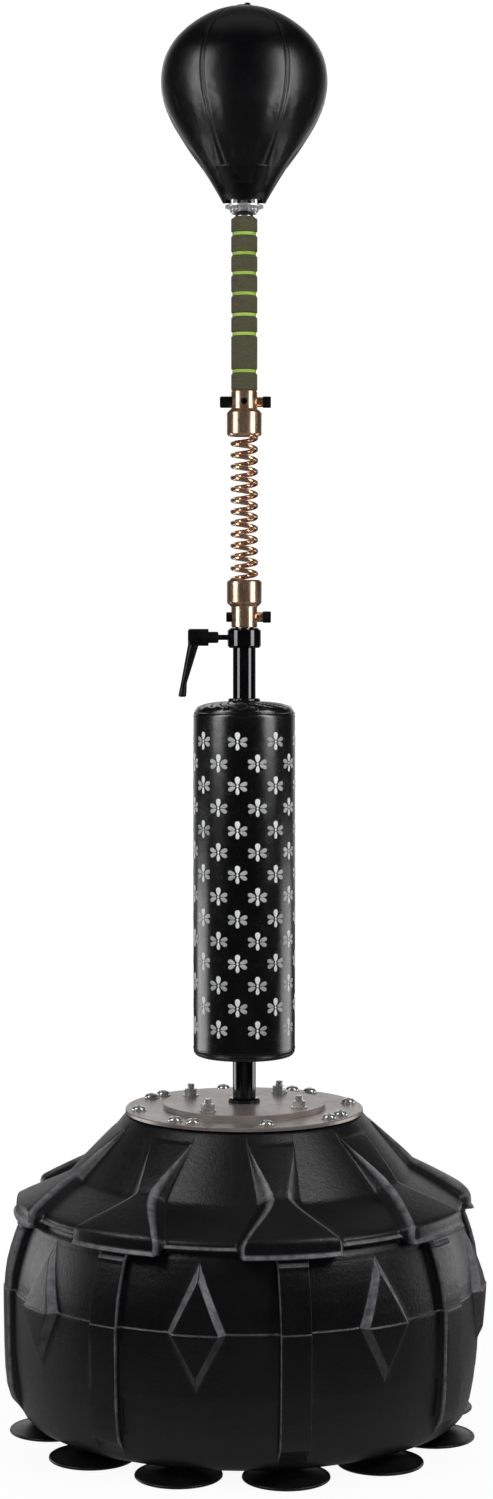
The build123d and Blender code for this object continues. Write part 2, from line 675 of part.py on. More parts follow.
# The reflex spring, wound left-handed
with BuildPart() as reflex_spring:
    with BuildLine() as coil:
        Helix(
            pitch=SPRING_PITCH,
            height=SPRING_TOP - SPRING_BOTTOM - 2 * WIRE_R - 1,
            radius=SPRING_R - WIRE_R,
            center=(0, 0, SPRING_BOTTOM + WIRE_R + 0.5),
            lefthand=True,
        )
    with BuildSketch(Plane(origin=coil.line @ 0, z_dir=coil.line % 0)):
        Circle(WIRE_R)
    sweep(path=coil.line, is_frenet=True)


# ---------------------------------------------------------------- grip
with BuildPart() as upper_rod:
    with BuildSketch(Plane.XY.offset(ROD_BOTTOM)):
        Circle(TUBE_R)
        Circle(ROD_BORE_R, mode=Mode.SUBTRACT)
    extrude(amount=ROD_TOP - ROD_BOTTOM)
    with BuildSketch(Plane.YZ.offset(-TUBE_R - 1)):
        with Locations((0, UPPER_BOLT_Z)):
            Circle(BOLT_R)
    extrude(amount=2 * TUBE_R + 2, mode=Mode.SUBTRACT)

with BuildPart() as grip_foam:
    with BuildSketch(Plane.XY.offset(GRIP_BOTTOM)):
        Circle(GRIP_R)
    extrude(amount=GRIP_TOP - GRIP_BOTTOM)
    chamfer(grip_foam.faces().sort_by(Axis.Z)[-1].edges(), 2.5)
    with BuildSketch(Plane.XY.offset(GRIP_BOTTOM)):
        Circle(TUBE_R)
    extrude(amount=GRIP_TOP - GRIP_BOTTOM, mode=Mode.SUBTRACT)
    for height in BAND_HEIGHTS:
        with BuildSketch(Plane.XY.offset(height - BAND_HEIGHT / 2)):
            Circle(GRIP_R + 1)
            Circle(BAND_SEAT_R, mode=Mode.SUBTRACT)
        extrude(amount=BAND_HEIGHT, mode=Mode.SUBTRACT)

with BuildPart() as grip_bands:
    for height in BAND_HEIGHTS:
        with BuildSketch(Plane.XY.offset(height - BAND_HEIGHT / 2)):
            Circle(BAND_R)
            Circle(BAND_SEAT_R, mode=Mode.SUBTRACT)
        extrude(amount=BAND_HEIGHT)


# ---------------------------------------------------------------- ball and its mounting
with BuildPart() as rod_end_plug:
    with BuildSketch(Plane.XZ):
        with BuildLine():
            shank = Polyline(
                (MOUNT_STUD_R, MOUNT_STUD_BOTTOM), (ROD_BORE_R, MOUNT_STUD_BOTTOM),
                (ROD_BORE_R, ROD_TOP), (TUBE_R, ROD_TOP),
            )
            cap_curve = ThreePointArc(shank @ 1, (8.6, 1331), (5, 1333))
            Polyline(cap_curve @ 1, (MOUNT_STUD_R, 1333), shank @ 0)
        make_face()
    revolve(axis=Axis.Z)

with BuildPart() as mount_stud:
    with BuildSketch(Plane.XY.offset(MOUNT_STUD_BOTTOM)):
        Circle(MOUNT_STUD_R)
    extrude(amount=MOUNT_STUD_TOP - MOUNT_STUD_BOTTOM)
    chamfer(mount_stud.faces().sort_by(Axis.Z)[-1].edges(), 0.8)

with BuildPart() as mount_flange:
    with BuildSketch(Plane.XY.offset(MOUNT_FLANGE_BOTTOM)):
        Circle(MOUNT_FLANGE_R)
        Circle(MOUNT_STUD_R, mode=Mode.SUBTRACT)
        with GridLocations(MOUNT_BOLT_SPACING, MOUNT_BOLT_SPACING, 2, 2):
            Circle(MOUNT_BOLT_R, mode=Mode.SUBTRACT)
    extrude(amount=MOUNT_FLANGE_TOP - MOUNT_FLANGE_BOTTOM)
    chamfer(mount_flange.faces().sort_by(Axis.Z)[0].outer_wire().edges(), 0.5)

with BuildPart() as mount_spacers:
    with BuildSketch(Plane.XY.offset(MOUNT_FLANGE_TOP)):
        with GridLocations(MOUNT_BOLT_SPACING, MOUNT_BOLT_SPACING, 2, 2):
            Circle(SPACER_R)
            Circle(MOUNT_BOLT_R, mode=Mode.SUBTRACT)
    extrude(amount=BOOT_FLOOR - MOUNT_FLANGE_TOP)

with BuildPart() as mount_bolts:
    with BuildSketch(Plane.XY.offset(MOUNT_BOLT_BOTTOM)):
        with GridLocations(MOUNT_BOLT_SPACING, MOUNT_BOLT_SPACING, 2, 2):
            Circle(MOUNT_BOLT_R)
    extrude(amount=MOUNT_BOLT_TOP - MOUNT_BOLT_BOTTOM)

# Domed cap nut, origin on its seat, dome downwards
with BuildPart() as cap_nut:
    with BuildSketch(Plane.XY.offset(-3)):
        RegularPolygon(4.1, 6, major_radius=False)
    extrude(amount=3)
    with BuildSketch(Plane.XZ):
        with BuildLine():
            nut_dome = ThreePointArc((0, -6), (2.8, -4.9), (3.9, -2.5))
            Polyline(nut_dome @ 1, (0, -2.5), nut_dome @ 0)
        make_face()
    revolve(axis=Axis.Z)
    with BuildSketch(Plane.XY):
        Circle(MOUNT_BOLT_R)
    extrude(amount=-3.5, mode=Mode.SUBTRACT)

with BuildPart() as mount_nuts:
    with Locations((0, 0, MOUNT_FLANGE_BOTTOM)):
        with GridLocations(MOUNT_BOLT_SPACING, MOUNT_BOLT_SPACING, 2, 2):
            add(cap_nut.part)

# Rubber boot that gathers the ball's foot, with a floor over the spacers
with BuildPart() as ball_boot:
    with BuildSketch(Plane.XZ):
        with BuildLine():
            Polyline(
                (BOOT_BOTTOM_R, BOOT_BOTTOM), (BOOT_TOP_R, BOOT_TOP), (BOOT_TOP_R - SKIN, BOOT_TOP),
                (BOOT_BOTTOM_R - 0.6, BOOT_FLOOR + SKIN), (0, BOOT_FLOOR + SKIN), (0, BOOT_FLOOR),
                (BOOT_BOTTOM_R - SKIN, BOOT_FLOOR), (BOOT_BOTTOM_R - SKIN, BOOT_BOTTOM), close=True,
            )
        make_face()
    revolve(axis=Axis.Z)
    with BuildSketch(Plane.XY.offset(BOOT_FLOOR)):
        Circle(MOUNT_STUD_R)
        with GridLocations(MOUNT_BOLT_SPACING, MOUNT_BOLT_SPACING, 2, 2):
            Circle(MOUNT_BOLT_R)
    extrude(amount=SKIN, mode=Mode.SUBTRACT)

with BuildPart() as ball_backing_plate:
    with BuildSketch(Plane.XY.offset(BOOT_FLOOR + SKIN)):
        Circle(BACKING_R)
        Circle(MOUNT_STUD_R, mode=Mode.SUBTRACT)
        with GridLocations(MOUNT_BOLT_SPACING, MOUNT_BOLT_SPACING, 2, 2):
            Circle(MOUNT_BOLT_R, mode=Mode.SUBTRACT)
    extrude(amount=BACKING)

# Sewn leather cover, a pear shape that runs down into the boot
with BuildPart() as ball_cover:
    with BuildSketch(Plane.XZ):
        with BuildLine():
            side = Spline(
                (26, 1356), (40.5, BOOT_TOP), (73.4, 1420), (BALL_R, BALL_WIDEST_Z),
                tangents=((0.55, 0.83), (0, 1)),
            )
            crown = Spline(side @ 1, (77.4, 1519.7), (0, BALL_TOP), tangents=((0, 1), (-1, 0)))
            lining_side = Spline(
                (23.5, 1357), (37.9, BOOT_TOP), (70.9, 1421), (BALL_R - SKIN, BALL_WIDEST_Z),
                tangents=((0.55, 0.83), (0, 1)),
            )
            lining_crown = Spline(
                lining_side @ 1, (75.3, 1518), (0, BALL_TOP - SKIN), tangents=((0, 1), (-1, 0))
            )
            Line(side @ 0, lining_side @ 0)
            Line(crown @ 1, lining_crown @ 1)
        make_face()
    revolve(axis=Axis.Z)
    with Locations((VALVE_X, 0, BALL_TOP + 1)):
        Cylinder(VALVE_R, VALVE_HOLE_DEPTH, align=TOP_DOWN, mode=Mode.SUBTRACT)

with BuildPart() as ball_bladder:
    with BuildSketch(Plane.XZ):
        with BuildLine():
            floor = Line((0, 1364), (14, 1364))
            side = Spline(
                floor @ 1, (40, 1384), (69, 1425), (BALL_R - 4, BALL_WIDEST_Z), tangents=((1, 0), (0, 1))
            )
            crown = Spline(side @ 1, (72.5, 1518), (0, BALL_TOP - 4), tangents=((0, 1), (-1, 0)))
            inner_floor = Line((0, 1365.5), (14, 1365.5))
            inner_side = Spline(
                inner_floor @ 1, (39, 1385.2), (67.6, 1425.8), (BALL_R - 5.5, BALL_WIDEST_Z),
                tangents=((1, 0), (0, 1)),
            )
            inner_crown = Spline(
                inner_side @ 1, (71.2, 1517), (0, BALL_TOP - 5.5), tangents=((0, 1), (-1, 0))
            )
            Line(floor @ 0, inner_floor @ 0)
            Line(crown @ 1, inner_crown @ 1)
        make_face()
    revolve(axis=Axis.Z)
    with Locations((VALVE_X, 0, BALL_TOP + 1)):
        Cylinder(VALVE_R, VALVE_HOLE_DEPTH, align=TOP_DOWN, mode=Mode.SUBTRACT)

with BuildPart() as ball_valve:
    with BuildSketch(Plane.XY.offset(VALVE_BOTTOM)):
        with Locations((VALVE_X, 0)):
            Circle(VALVE_R)
    extrude(amount=VALVE_TOP - VALVE_BOTTOM)
    fillet(ball_valve.faces().sort_by(Axis.Z)[-1].edges(), 1.5)


# ---------------------------------------------------------------- one file per piece
pieces = {
    "base_tank": base_tank,
    "water_fill": water_fill,
    "suction_cups": suction_cups,
    "lid_gasket": lid_gasket,
    "lid_plate": lid_plate,
    "lid_inserts": lid_inserts,
    "lid_washers": lid_washers,
    "lid_screws": lid_screws,
    "pole_flange": pole_flange,
    "flange_studs": flange_studs,
    "flange_washers": flange_washers,
    "flange_nuts": flange_nuts,
    "pole_foot_ring": pole_foot_ring,
    "outer_pole": outer_pole,
    "guide_bush": guide_bush,
    "target_liner": target_liner,
    "target_foam": target_foam,
    "target_cover": target_cover,
    "target_top_ring": target_top_ring,
    "clamp_collar": clamp_collar,
    "collar_grub_screw": collar_grub_screw,
    "clamp_pad": clamp_pad,
    "lever_stud": lever_stud,
    "lever_insert": lever_insert,
    "lever_cap_screw": lever_cap_screw,
    "lever_return_spring": lever_return_spring,
    "lever_handle": lever_handle,
    "inner_tube": inner_tube,
    "tube_foot_bush": tube_foot_bush,
    "lower_coupler": lower_coupler,
    "lower_bolt": lower_bolt,
    "lower_nut": lower_nut,
    "reflex_spring": reflex_spring,
    "upper_coupler": upper_coupler,
    "upper_bolt": upper_bolt,
    "upper_nut": upper_nut,
    "upper_set_screw": upper_set_screw,
    "upper_rod": upper_rod,
    "grip_foam": grip_foam,
    "grip_bands": grip_bands,
    "rod_end_plug": rod_end_plug,
    "mount_stud": mount_stud,
    "mount_flange": mount_flange,
    "mount_spacers": mount_spacers,
    "mount_bolts": mount_bolts,
    "mount_nuts": mount_nuts,
    "ball_boot": ball_boot,
    "ball_backing_plate": ball_backing_plate,
    "ball_cover": ball_cover,
    "ball_bladder": ball_bladder,
    "ball_valve": ball_valve,
}
for name, piece in pieces.items():
    piece.part.label = name
    export_step(piece.part, f"parts/{name}.step")
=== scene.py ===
import json
from math import cos, hypot, pi, radians, sin, sqrt

import bmesh
import bpy
import numpy as np
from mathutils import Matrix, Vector
from mathutils.bvhtree import BVHTree


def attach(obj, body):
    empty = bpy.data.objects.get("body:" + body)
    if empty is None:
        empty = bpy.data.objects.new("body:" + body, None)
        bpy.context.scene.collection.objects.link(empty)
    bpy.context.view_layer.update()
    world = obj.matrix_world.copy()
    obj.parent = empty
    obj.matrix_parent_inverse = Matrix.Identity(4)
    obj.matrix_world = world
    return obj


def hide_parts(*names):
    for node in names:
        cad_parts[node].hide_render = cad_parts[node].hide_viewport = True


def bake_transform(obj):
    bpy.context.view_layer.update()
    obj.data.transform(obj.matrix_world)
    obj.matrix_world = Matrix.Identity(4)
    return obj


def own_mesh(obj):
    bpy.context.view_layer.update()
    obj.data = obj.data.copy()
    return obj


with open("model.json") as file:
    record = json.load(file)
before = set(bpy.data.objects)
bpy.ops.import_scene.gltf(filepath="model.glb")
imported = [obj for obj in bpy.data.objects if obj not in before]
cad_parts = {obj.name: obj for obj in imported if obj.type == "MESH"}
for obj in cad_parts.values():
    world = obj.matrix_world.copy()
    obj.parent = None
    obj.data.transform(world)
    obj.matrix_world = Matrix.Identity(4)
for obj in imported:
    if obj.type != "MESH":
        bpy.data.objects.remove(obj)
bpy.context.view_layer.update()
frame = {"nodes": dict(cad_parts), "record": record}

# A free-standing reflex bag: ballast tank on suction cups, telescopic pole with a padded
# target sleeve, coil-spring joint, foam grip and a leather ball. Metres, the CAD model's frame.
MM = 0.001


# ------------------------------------------------------------------ mesh helpers
def make_object(name, points, faces, material, crease=30.0):
    """A smooth-shaded mesh object whose edges sharper than crease degrees stay sharp."""
    mesh = bpy.data.meshes.new(name)
    mesh.from_pydata([tuple(p) for p in points], [], faces)
    mesh.validate()
    mesh.materials.append(material)
    obj = bpy.data.objects.new(name, mesh)
    bpy.context.scene.collection.objects.link(obj)
    tidy_normals(obj, crease)
    return obj


def tidy_normals(obj, crease=30.0):
    work = bmesh.new()
    work.from_mesh(obj.data)
    bmesh.ops.recalc_face_normals(work, faces=work.faces)
    work.to_mesh(obj.data)
    work.free()
    obj.data.polygons.foreach_set("use_smooth", [True] * len(obj.data.polygons))
    obj.data.set_sharp_from_angle(angle=radians(crease))


def around(radius, turn, height):
    """Points at a radius and an angle from the upright axis, and at a height."""
    return np.stack([radius * np.cos(turn), radius * np.sin(turn), height + 0 * turn], axis=-1)


def in_metres(outline):
    return [(radius * MM, height * MM) for radius, height in outline]


def coordinates(mesh):
    """The mesh's points as rows of x, y and z."""
    flat = np.empty(len(mesh.vertices) * 3)
    mesh.vertices.foreach_get("co", flat)
    return flat.reshape(-1, 3)


def grid_faces(rows, columns, first=0, close_rows=False):
    """Quads of a grid whose columns run all the way round."""
    faces = []
    for i in range(rows if close_rows else rows - 1):
        for j in range(columns):
            a = first + i * columns
            b = first + ((i + 1) % rows) * columns
            k = (j + 1) % columns
            faces.append((a + j, a + k, b + k, b + j))
    return faces


def turned_mesh(outline, columns, centre=(0.0, 0.0), shape=None):
    """Points and faces of an outline of (radius, height) turned about a vertical line.
    Ends on the axis become poles. shape(point rows, angles) may move the points."""
    angles = np.arange(columns) * 2 * pi / columns
    start_pole, end_pole = outline[0][0] < 1e-9, outline[-1][0] < 1e-9
    closed = not start_pole and not end_pole
    rings = list(outline)[int(start_pole): len(outline) - int(end_pole)]
    radius = np.array([p[0] for p in rings])[:, None]
    height = np.array([p[1] for p in rings])[:, None]
    grid = around(radius, angles, height)
    if shape is not None:
        grid = shape(grid, angles)
    points = [tuple(p) for p in grid.reshape(-1, 3)]
    faces = grid_faces(len(rings), columns, close_rows=closed)
    if start_pole:
        points.append((0, 0, outline[0][1]))
        faces += [(len(points) - 1, (j + 1) % columns, j) for j in range(columns)]
    if end_pole:
        last = (len(rings) - 1) * columns
        points.append((0, 0, outline[-1][1]))
        faces += [(len(points) - 1, last + j, last + (j + 1) % columns) for j in range(columns)]
    points = [(x + centre[0], y + centre[1], z) for x, y, z in points]
    return points, faces


def joined(parts):
    """Several (points, faces) as one."""
    points, faces = [], []
    for part_points, part_faces in parts:
        faces += [tuple(i + len(points) for i in face) for face in part_faces]
        points += list(part_points)
    return points, faces


def tube_mesh(path, radius, sides, closed=False):
    """A round tube along a list of points, with flat ends unless it is closed."""
    path = np.array(path, float)
    count = len(path)
    if closed:
        ahead = np.roll(path, -1, axis=0) - np.roll(path, 1, axis=0)
    else:
        ahead = np.gradient(path, axis=0)
    ahead /= np.linalg.norm(ahead, axis=1)[:, None]
    up = np.array([0.0, 0.0, 1.0])
    side = np.cross(ahead, up)
    side /= np.linalg.norm(side, axis=1)[:, None]
    rise = np.cross(side, ahead)
    turn = np.arange(sides) * 2 * pi / sides
    radius = np.broadcast_to(radius, (count,))[:, None, None]
    ring = side[:, None] * np.cos(turn)[None, :, None] + rise[:, None] * np.sin(turn)[None, :, None]
    points = (path[:, None] + radius * ring).reshape(-1, 3)
    faces = grid_faces(count, sides, close_rows=closed)
    if not closed:
        faces.append(tuple(range(sides)))
        faces.append(tuple((count - 1) * sides + j for j in reversed(range(sides))))
    return points, faces


def smoothstep(x):
    x = np.clip(x, 0.0, 1.0)
    return x * x * (3 - 2 * x)


# ------------------------------------------------------------------ material helpers
def add_node(tree, kind, links=None, **settings):
    node = tree.nodes.new(kind)
    for key, value in settings.items():
        setattr(node, key, value)
    for key, value in (links or {}).items():
        if isinstance(value, bpy.types.NodeSocket):
            tree.links.new(value, node.inputs[key])
        else:
            node.inputs[key].default_value = value
    return node


def blank_material(name="look"):
    material = bpy.data.materials.new(name)
    material.use_nodes = True
    tree = material.node_tree
    tree.nodes.clear()
    place = add_node(tree, "ShaderNodeTexCoord").outputs["Object"]
    return material, tree, place


def noise(tree, place, per_metre, detail=3.0, rough=0.55):
    links = {"Vector": place, "Scale": per_metre, "Detail": detail, "Roughness": rough}
    return add_node(tree, "ShaderNodeTexNoise", links).outputs["Fac"]


def mapped(tree, value, low, high, from_low=0.3, from_high=0.7):
    """A value's range stretched to low..high; a noise lies mostly between 0.3 and 0.7."""
    links = {"Value": value, "From Min": from_low, "From Max": from_high}
    links.update({"To Min": low, "To Max": high})
    return add_node(tree, "ShaderNodeMapRange", links).outputs["Result"]


def mixed_color(tree, factor, first, second):
    node = tree.nodes.new("ShaderNodeMix")
    node.data_type = "RGBA"
    for socket, value in (("Factor", factor), ("A", first), ("B", second)):
        target = [i for i in node.inputs if i.name == socket and i.enabled][0]
        if isinstance(value, bpy.types.NodeSocket):
            tree.links.new(value, target)
        else:
            target.default_value = value
    return [o for o in node.outputs if o.enabled][0]


def color(red, green, blue):
    """A display colour from 0 to 255 as the linear colour that shaders take."""
    linear = [
        ((c / 255 + 0.055) / 1.055) ** 2.4 if c > 10 else c / 255 / 12.92
        for c in (red, green, blue)
    ]
    return (*linear, 1.0)


def bumped(tree, height, strength, distance, below=None):
    links = {"Height": height, "Strength": strength, "Distance": distance}
    if below is not None:
        links["Normal"] = below
    return add_node(tree, "ShaderNodeBump", links).outputs["Normal"]


def finish_material(material, tree, base, roughness, normal, **constants):
    shader = add_node(tree, "ShaderNodeBsdfPrincipled")
    tree.links.new(base, shader.inputs["Base Color"])
    tree.links.new(roughness, shader.inputs["Roughness"])
    if normal is not None:
        tree.links.new(normal, shader.inputs["Normal"])
    for key, value in constants.items():
        shader.inputs[key.replace("_", " ")].default_value = value
    output = add_node(tree, "ShaderNodeOutputMaterial")
    tree.links.new(shader.outputs["BSDF"], output.inputs["Surface"])
    return material


def metal(
    dark, light, rough, grain=900.0, stretch=(1.0, 1.0, 1.0), bump=0.06, metallic=0.8,
    **constants,
):
    """Plated or turned metal: slight tone changes, fine streaks, scattered handling marks."""
    material, tree, place = blank_material()
    streaks = add_node(tree, "ShaderNodeMapping", {"Vector": place, "Scale": stretch})
    tone = noise(tree, place, 60.0)
    fine = noise(tree, streaks.outputs["Vector"], grain, 4.0)
    marks = noise(tree, place, 260.0, 6.0, 0.7)
    base = mixed_color(tree, mapped(tree, tone, 0.0, 1.0), dark, light)
    base = mixed_color(tree, mapped(tree, marks, 0.0, 0.35, 0.62, 0.8), base, dark)
    roughness = mapped(tree, fine, *rough)
    normal = bumped(tree, fine, bump, 0.05 * MM)
    return finish_material(material, tree, base, roughness, normal, Metallic=metallic, **constants)


def plastic(dark, light, rough, grain=1400.0, bump=0.15, depth=0.12, painted_edge_highlight=None, **constants):
    """Moulded plastic or rubber: an even skin with a fine cell grain and slow tone changes.
    With a highlight colour given, a point attribute of the mesh paints that colour over its edges
    in patches: a painted highlight."""
    material, tree, place = blank_material()
    tone = noise(tree, place, 22.0)
    scuffs = noise(tree, place, 180.0, 8.0, 0.72)
    links = {"Vector": place, "Scale": grain, "Randomness": 1.0}
    cells = add_node(tree, "ShaderNodeTexVoronoi", links).outputs["Distance"]
    base = mixed_color(tree, mapped(tree, tone, 0.0, 1.0), dark, light)
    base = mixed_color(tree, mapped(tree, scuffs, 0.0, 0.5, 0.6, 0.85), base, light)
    roughness = mapped(tree, scuffs, *rough)
    # painted highlight: the edges that a point attribute marks take a light colour, in patches
    if painted_edge_highlight is not None:
        edge = add_node(tree, "ShaderNodeAttribute", attribute_name="painted_highlight").outputs["Fac"]
        patchy = mapped(tree, noise(tree, place, 90.0, 5.0, 0.7), 0.35, 1.0, 0.35, 0.65)
        edge = add_node(tree, "ShaderNodeMath", {0: edge, 1: patchy}, operation="MULTIPLY")
        base = mixed_color(tree, edge.outputs[0], base, painted_edge_highlight)
    fine = bumped(tree, cells, bump, depth * MM)
    normal = bumped(tree, noise(tree, place, 260.0, 2.0), bump * 0.5, 4 * depth * MM, fine)
    return finish_material(material, tree, base, roughness, normal, **constants)


def paint(dark, light, rough, **constants):
    """Gloss paint or powder coat with a slight orange peel."""
    material, tree, place = blank_material()
    tone = noise(tree, place, 35.0)
    peel = noise(tree, place, 420.0, 2.0, 0.5)
    base = mixed_color(tree, mapped(tree, tone, 0.0, 1.0), dark, light)
    roughness = mapped(tree, noise(tree, place, 150.0, 6.0, 0.7), *rough)
    normal = bumped(tree, peel, 0.08, 0.08 * MM)
    return finish_material(material, tree, base, roughness, normal, **constants)


def leather(dark, light, rough, grain=520.0, bump=0.35, depth=0.22, **constants):
    """Leather: pebbled cells with creases between them, the creases painted darker as shade."""
    material, tree, place = blank_material()
    bend = noise(tree, place, 170.0, 3.0)
    scaled = {0: bend, "Scale": 0.0022}
    wobble = add_node(tree, "ShaderNodeVectorMath", scaled, operation="SCALE").outputs[0]
    summed = {0: place, 1: wobble}
    warped = add_node(tree, "ShaderNodeVectorMath", summed, operation="ADD").outputs[0]
    links = {"Vector": warped, "Scale": grain, "Randomness": 0.9}
    voronoi = add_node(tree, "ShaderNodeTexVoronoi", links, feature="DISTANCE_TO_EDGE")
    cells = voronoi.outputs["Distance"]
    pebble = mapped(tree, cells, 0.0, 1.0, 0.0, 0.22)
    tone = noise(tree, place, 14.0, 4.0)
    base = mixed_color(tree, mapped(tree, tone, 0.0, 1.0), dark, light)
    # painted shade: darker in the creases between the cells
    base = mixed_color(tree, mapped(tree, cells, 0.45, 0.0, 0.0, 0.1), base, dark)
    roughness = mapped(tree, noise(tree, place, 90.0, 6.0, 0.65), *rough)
    fine = bumped(tree, pebble, bump, depth * MM)
    normal = bumped(tree, noise(tree, place, 60.0, 3.0), 0.18, 1.2 * MM, fine)
    return finish_material(material, tree, base, roughness, normal, **constants)


def foam(dark, light, rough, **constants):
    """Open sponge: small pits and a speckled colour."""
    material, tree, place = blank_material()
    links = {"Vector": place, "Scale": 1100.0, "Randomness": 1.0}
    pits = add_node(tree, "ShaderNodeTexVoronoi", links).outputs["Distance"]
    speckle = noise(tree, place, 700.0, 5.0, 0.7)
    base = mixed_color(tree, mapped(tree, speckle, 0.0, 1.0), dark, light)
    roughness = mapped(tree, noise(tree, place, 200.0), *rough)
    normal = bumped(tree, pits, 0.6, 0.35 * MM)
    return finish_material(material, tree, base, roughness, normal, **constants)


# ------------------------------------------------------------------ materials, one per slot
ROUND_Z = (1.0, 1.0, 0.04)  # noise drawn out into upright streaks
materials = {
    # The tank's light edge colour is a painted highlight on its bevels, lips and parting line.
    "tank_plastic": plastic(
        color(8, 7, 9), color(19, 17, 20), (0.32, 0.46), 620.0, 0.4, 0.3,
        painted_edge_highlight=color(132, 130, 134), Specular_IOR_Level=0.55,
    ),
    "ballast": plastic(
        color(120, 160, 178), color(160, 195, 208), (0.03, 0.08), 90.0, 0.1, 0.5,
        Transmission_Weight=0.9, IOR=1.333,
    ),
    "cup_rubber": plastic(color(12, 12, 13), color(26, 26, 27), (0.3, 0.42), 2200.0, 0.1),
    "gasket_rubber": plastic(color(18, 18, 18), color(34, 33, 32), (0.6, 0.75)),
    "plate_steel": paint(color(146, 138, 133), color(176, 166, 160), (0.26, 0.38), Metallic=0.5),
    "zinc_steel": metal(color(176, 176, 174), color(226, 226, 222), (0.14, 0.26), 1800.0),
    "brass": metal(color(176, 130, 62), color(222, 178, 96), (0.22, 0.36)),
    "pole_gloss": paint(
        color(5, 5, 7), color(11, 11, 13), (0.08, 0.14),
        Coat_Weight=0.7, Coat_Roughness=0.04, Specular_IOR_Level=0.5,
    ),
    "bush_nylon": plastic(color(196, 194, 184), color(222, 220, 210), (0.45, 0.6)),
    "target_leather": leather(
        color(4, 4, 5), color(11, 10, 11), (0.2, 0.3), 760.0, 0.14, 0.1,
        Specular_IOR_Level=0.9, Coat_Weight=0.35, Coat_Roughness=0.22,
    ),
    "sleeve_foam": foam(color(58, 58, 60), color(84, 84, 86), (0.85, 0.95)),
    "black_oxide": metal(color(20, 20, 22), color(46, 46, 48), (0.28, 0.42), 1200.0),
    "spring_steel": metal(
        color(206, 158, 124), color(238, 202, 168), (0.12, 0.22), 1500.0, ROUND_Z,
        metallic=0.88,
    ),
    "copper_chrome": metal(
        color(212, 166, 134), color(240, 206, 176), (0.2, 0.28), 1600.0, ROUND_Z,
        0.04, metallic=0.92,
    ),
    "chrome": metal(color(224, 224, 226), color(248, 248, 248), (0.26, 0.36), 1500.0),
    "grip_foam": foam(color(68, 69, 48), color(102, 97, 75), (0.75, 0.9)),
    "band_green": plastic(color(132, 168, 46), color(166, 198, 78), (0.4, 0.55)),
    "plug_plastic": plastic(color(14, 14, 15), color(32, 32, 33), (0.3, 0.42)),
    "boot_rubber": leather(
        color(3, 3, 4), color(9, 9, 10), (0.3, 0.4), 900.0, 0.2, 0.12,
        Specular_IOR_Level=0.25,
    ),
    "plate_inner": metal(color(120, 120, 122), color(160, 160, 160), (0.35, 0.5)),
    "ball_leather": leather(
        color(3, 3, 5), color(8, 7, 10), (0.27, 0.35), 620.0, 0.2, 0.12,
        Specular_IOR_Level=0.6,
    ),
    "bladder_rubber": plastic(color(34, 30, 30), color(58, 52, 50), (0.5, 0.65)),
    "print_white": paint(color(240, 241, 240), color(252, 252, 250), (0.4, 0.55)),
    "print_grey": paint(color(160, 163, 163), color(204, 206, 204), (0.4, 0.55)),
    "thread": plastic(color(10, 10, 11), color(26, 26, 27), (0.6, 0.75), 3000.0),
}
for material_name, material in materials.items():
    material.name = material_name

slot_of = {part["node"]: part["material_slot"] for part in frame["record"]["subparts"]}
for node_name, node in frame["nodes"].items():
    node.data.materials.clear()
    node.data.materials.append(materials[slot_of[node_name]])


def stand_in(obj, slot_name, body, *nodes):
    """obj rides on a body in place of CAD nodes. slot_name, the nodes' slot, is not used."""
    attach(obj, body)
    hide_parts(*nodes)
    return obj


# ------------------------------------------------------------------ ballast tank
TANK_PATTERN = radians(-78.4)  # direction of the first rib
RIB_COUNT = 8
HALF_SECTOR = pi / RIB_COUNT
PARTING = 158.0  # height of the mould's parting line, in millimetres

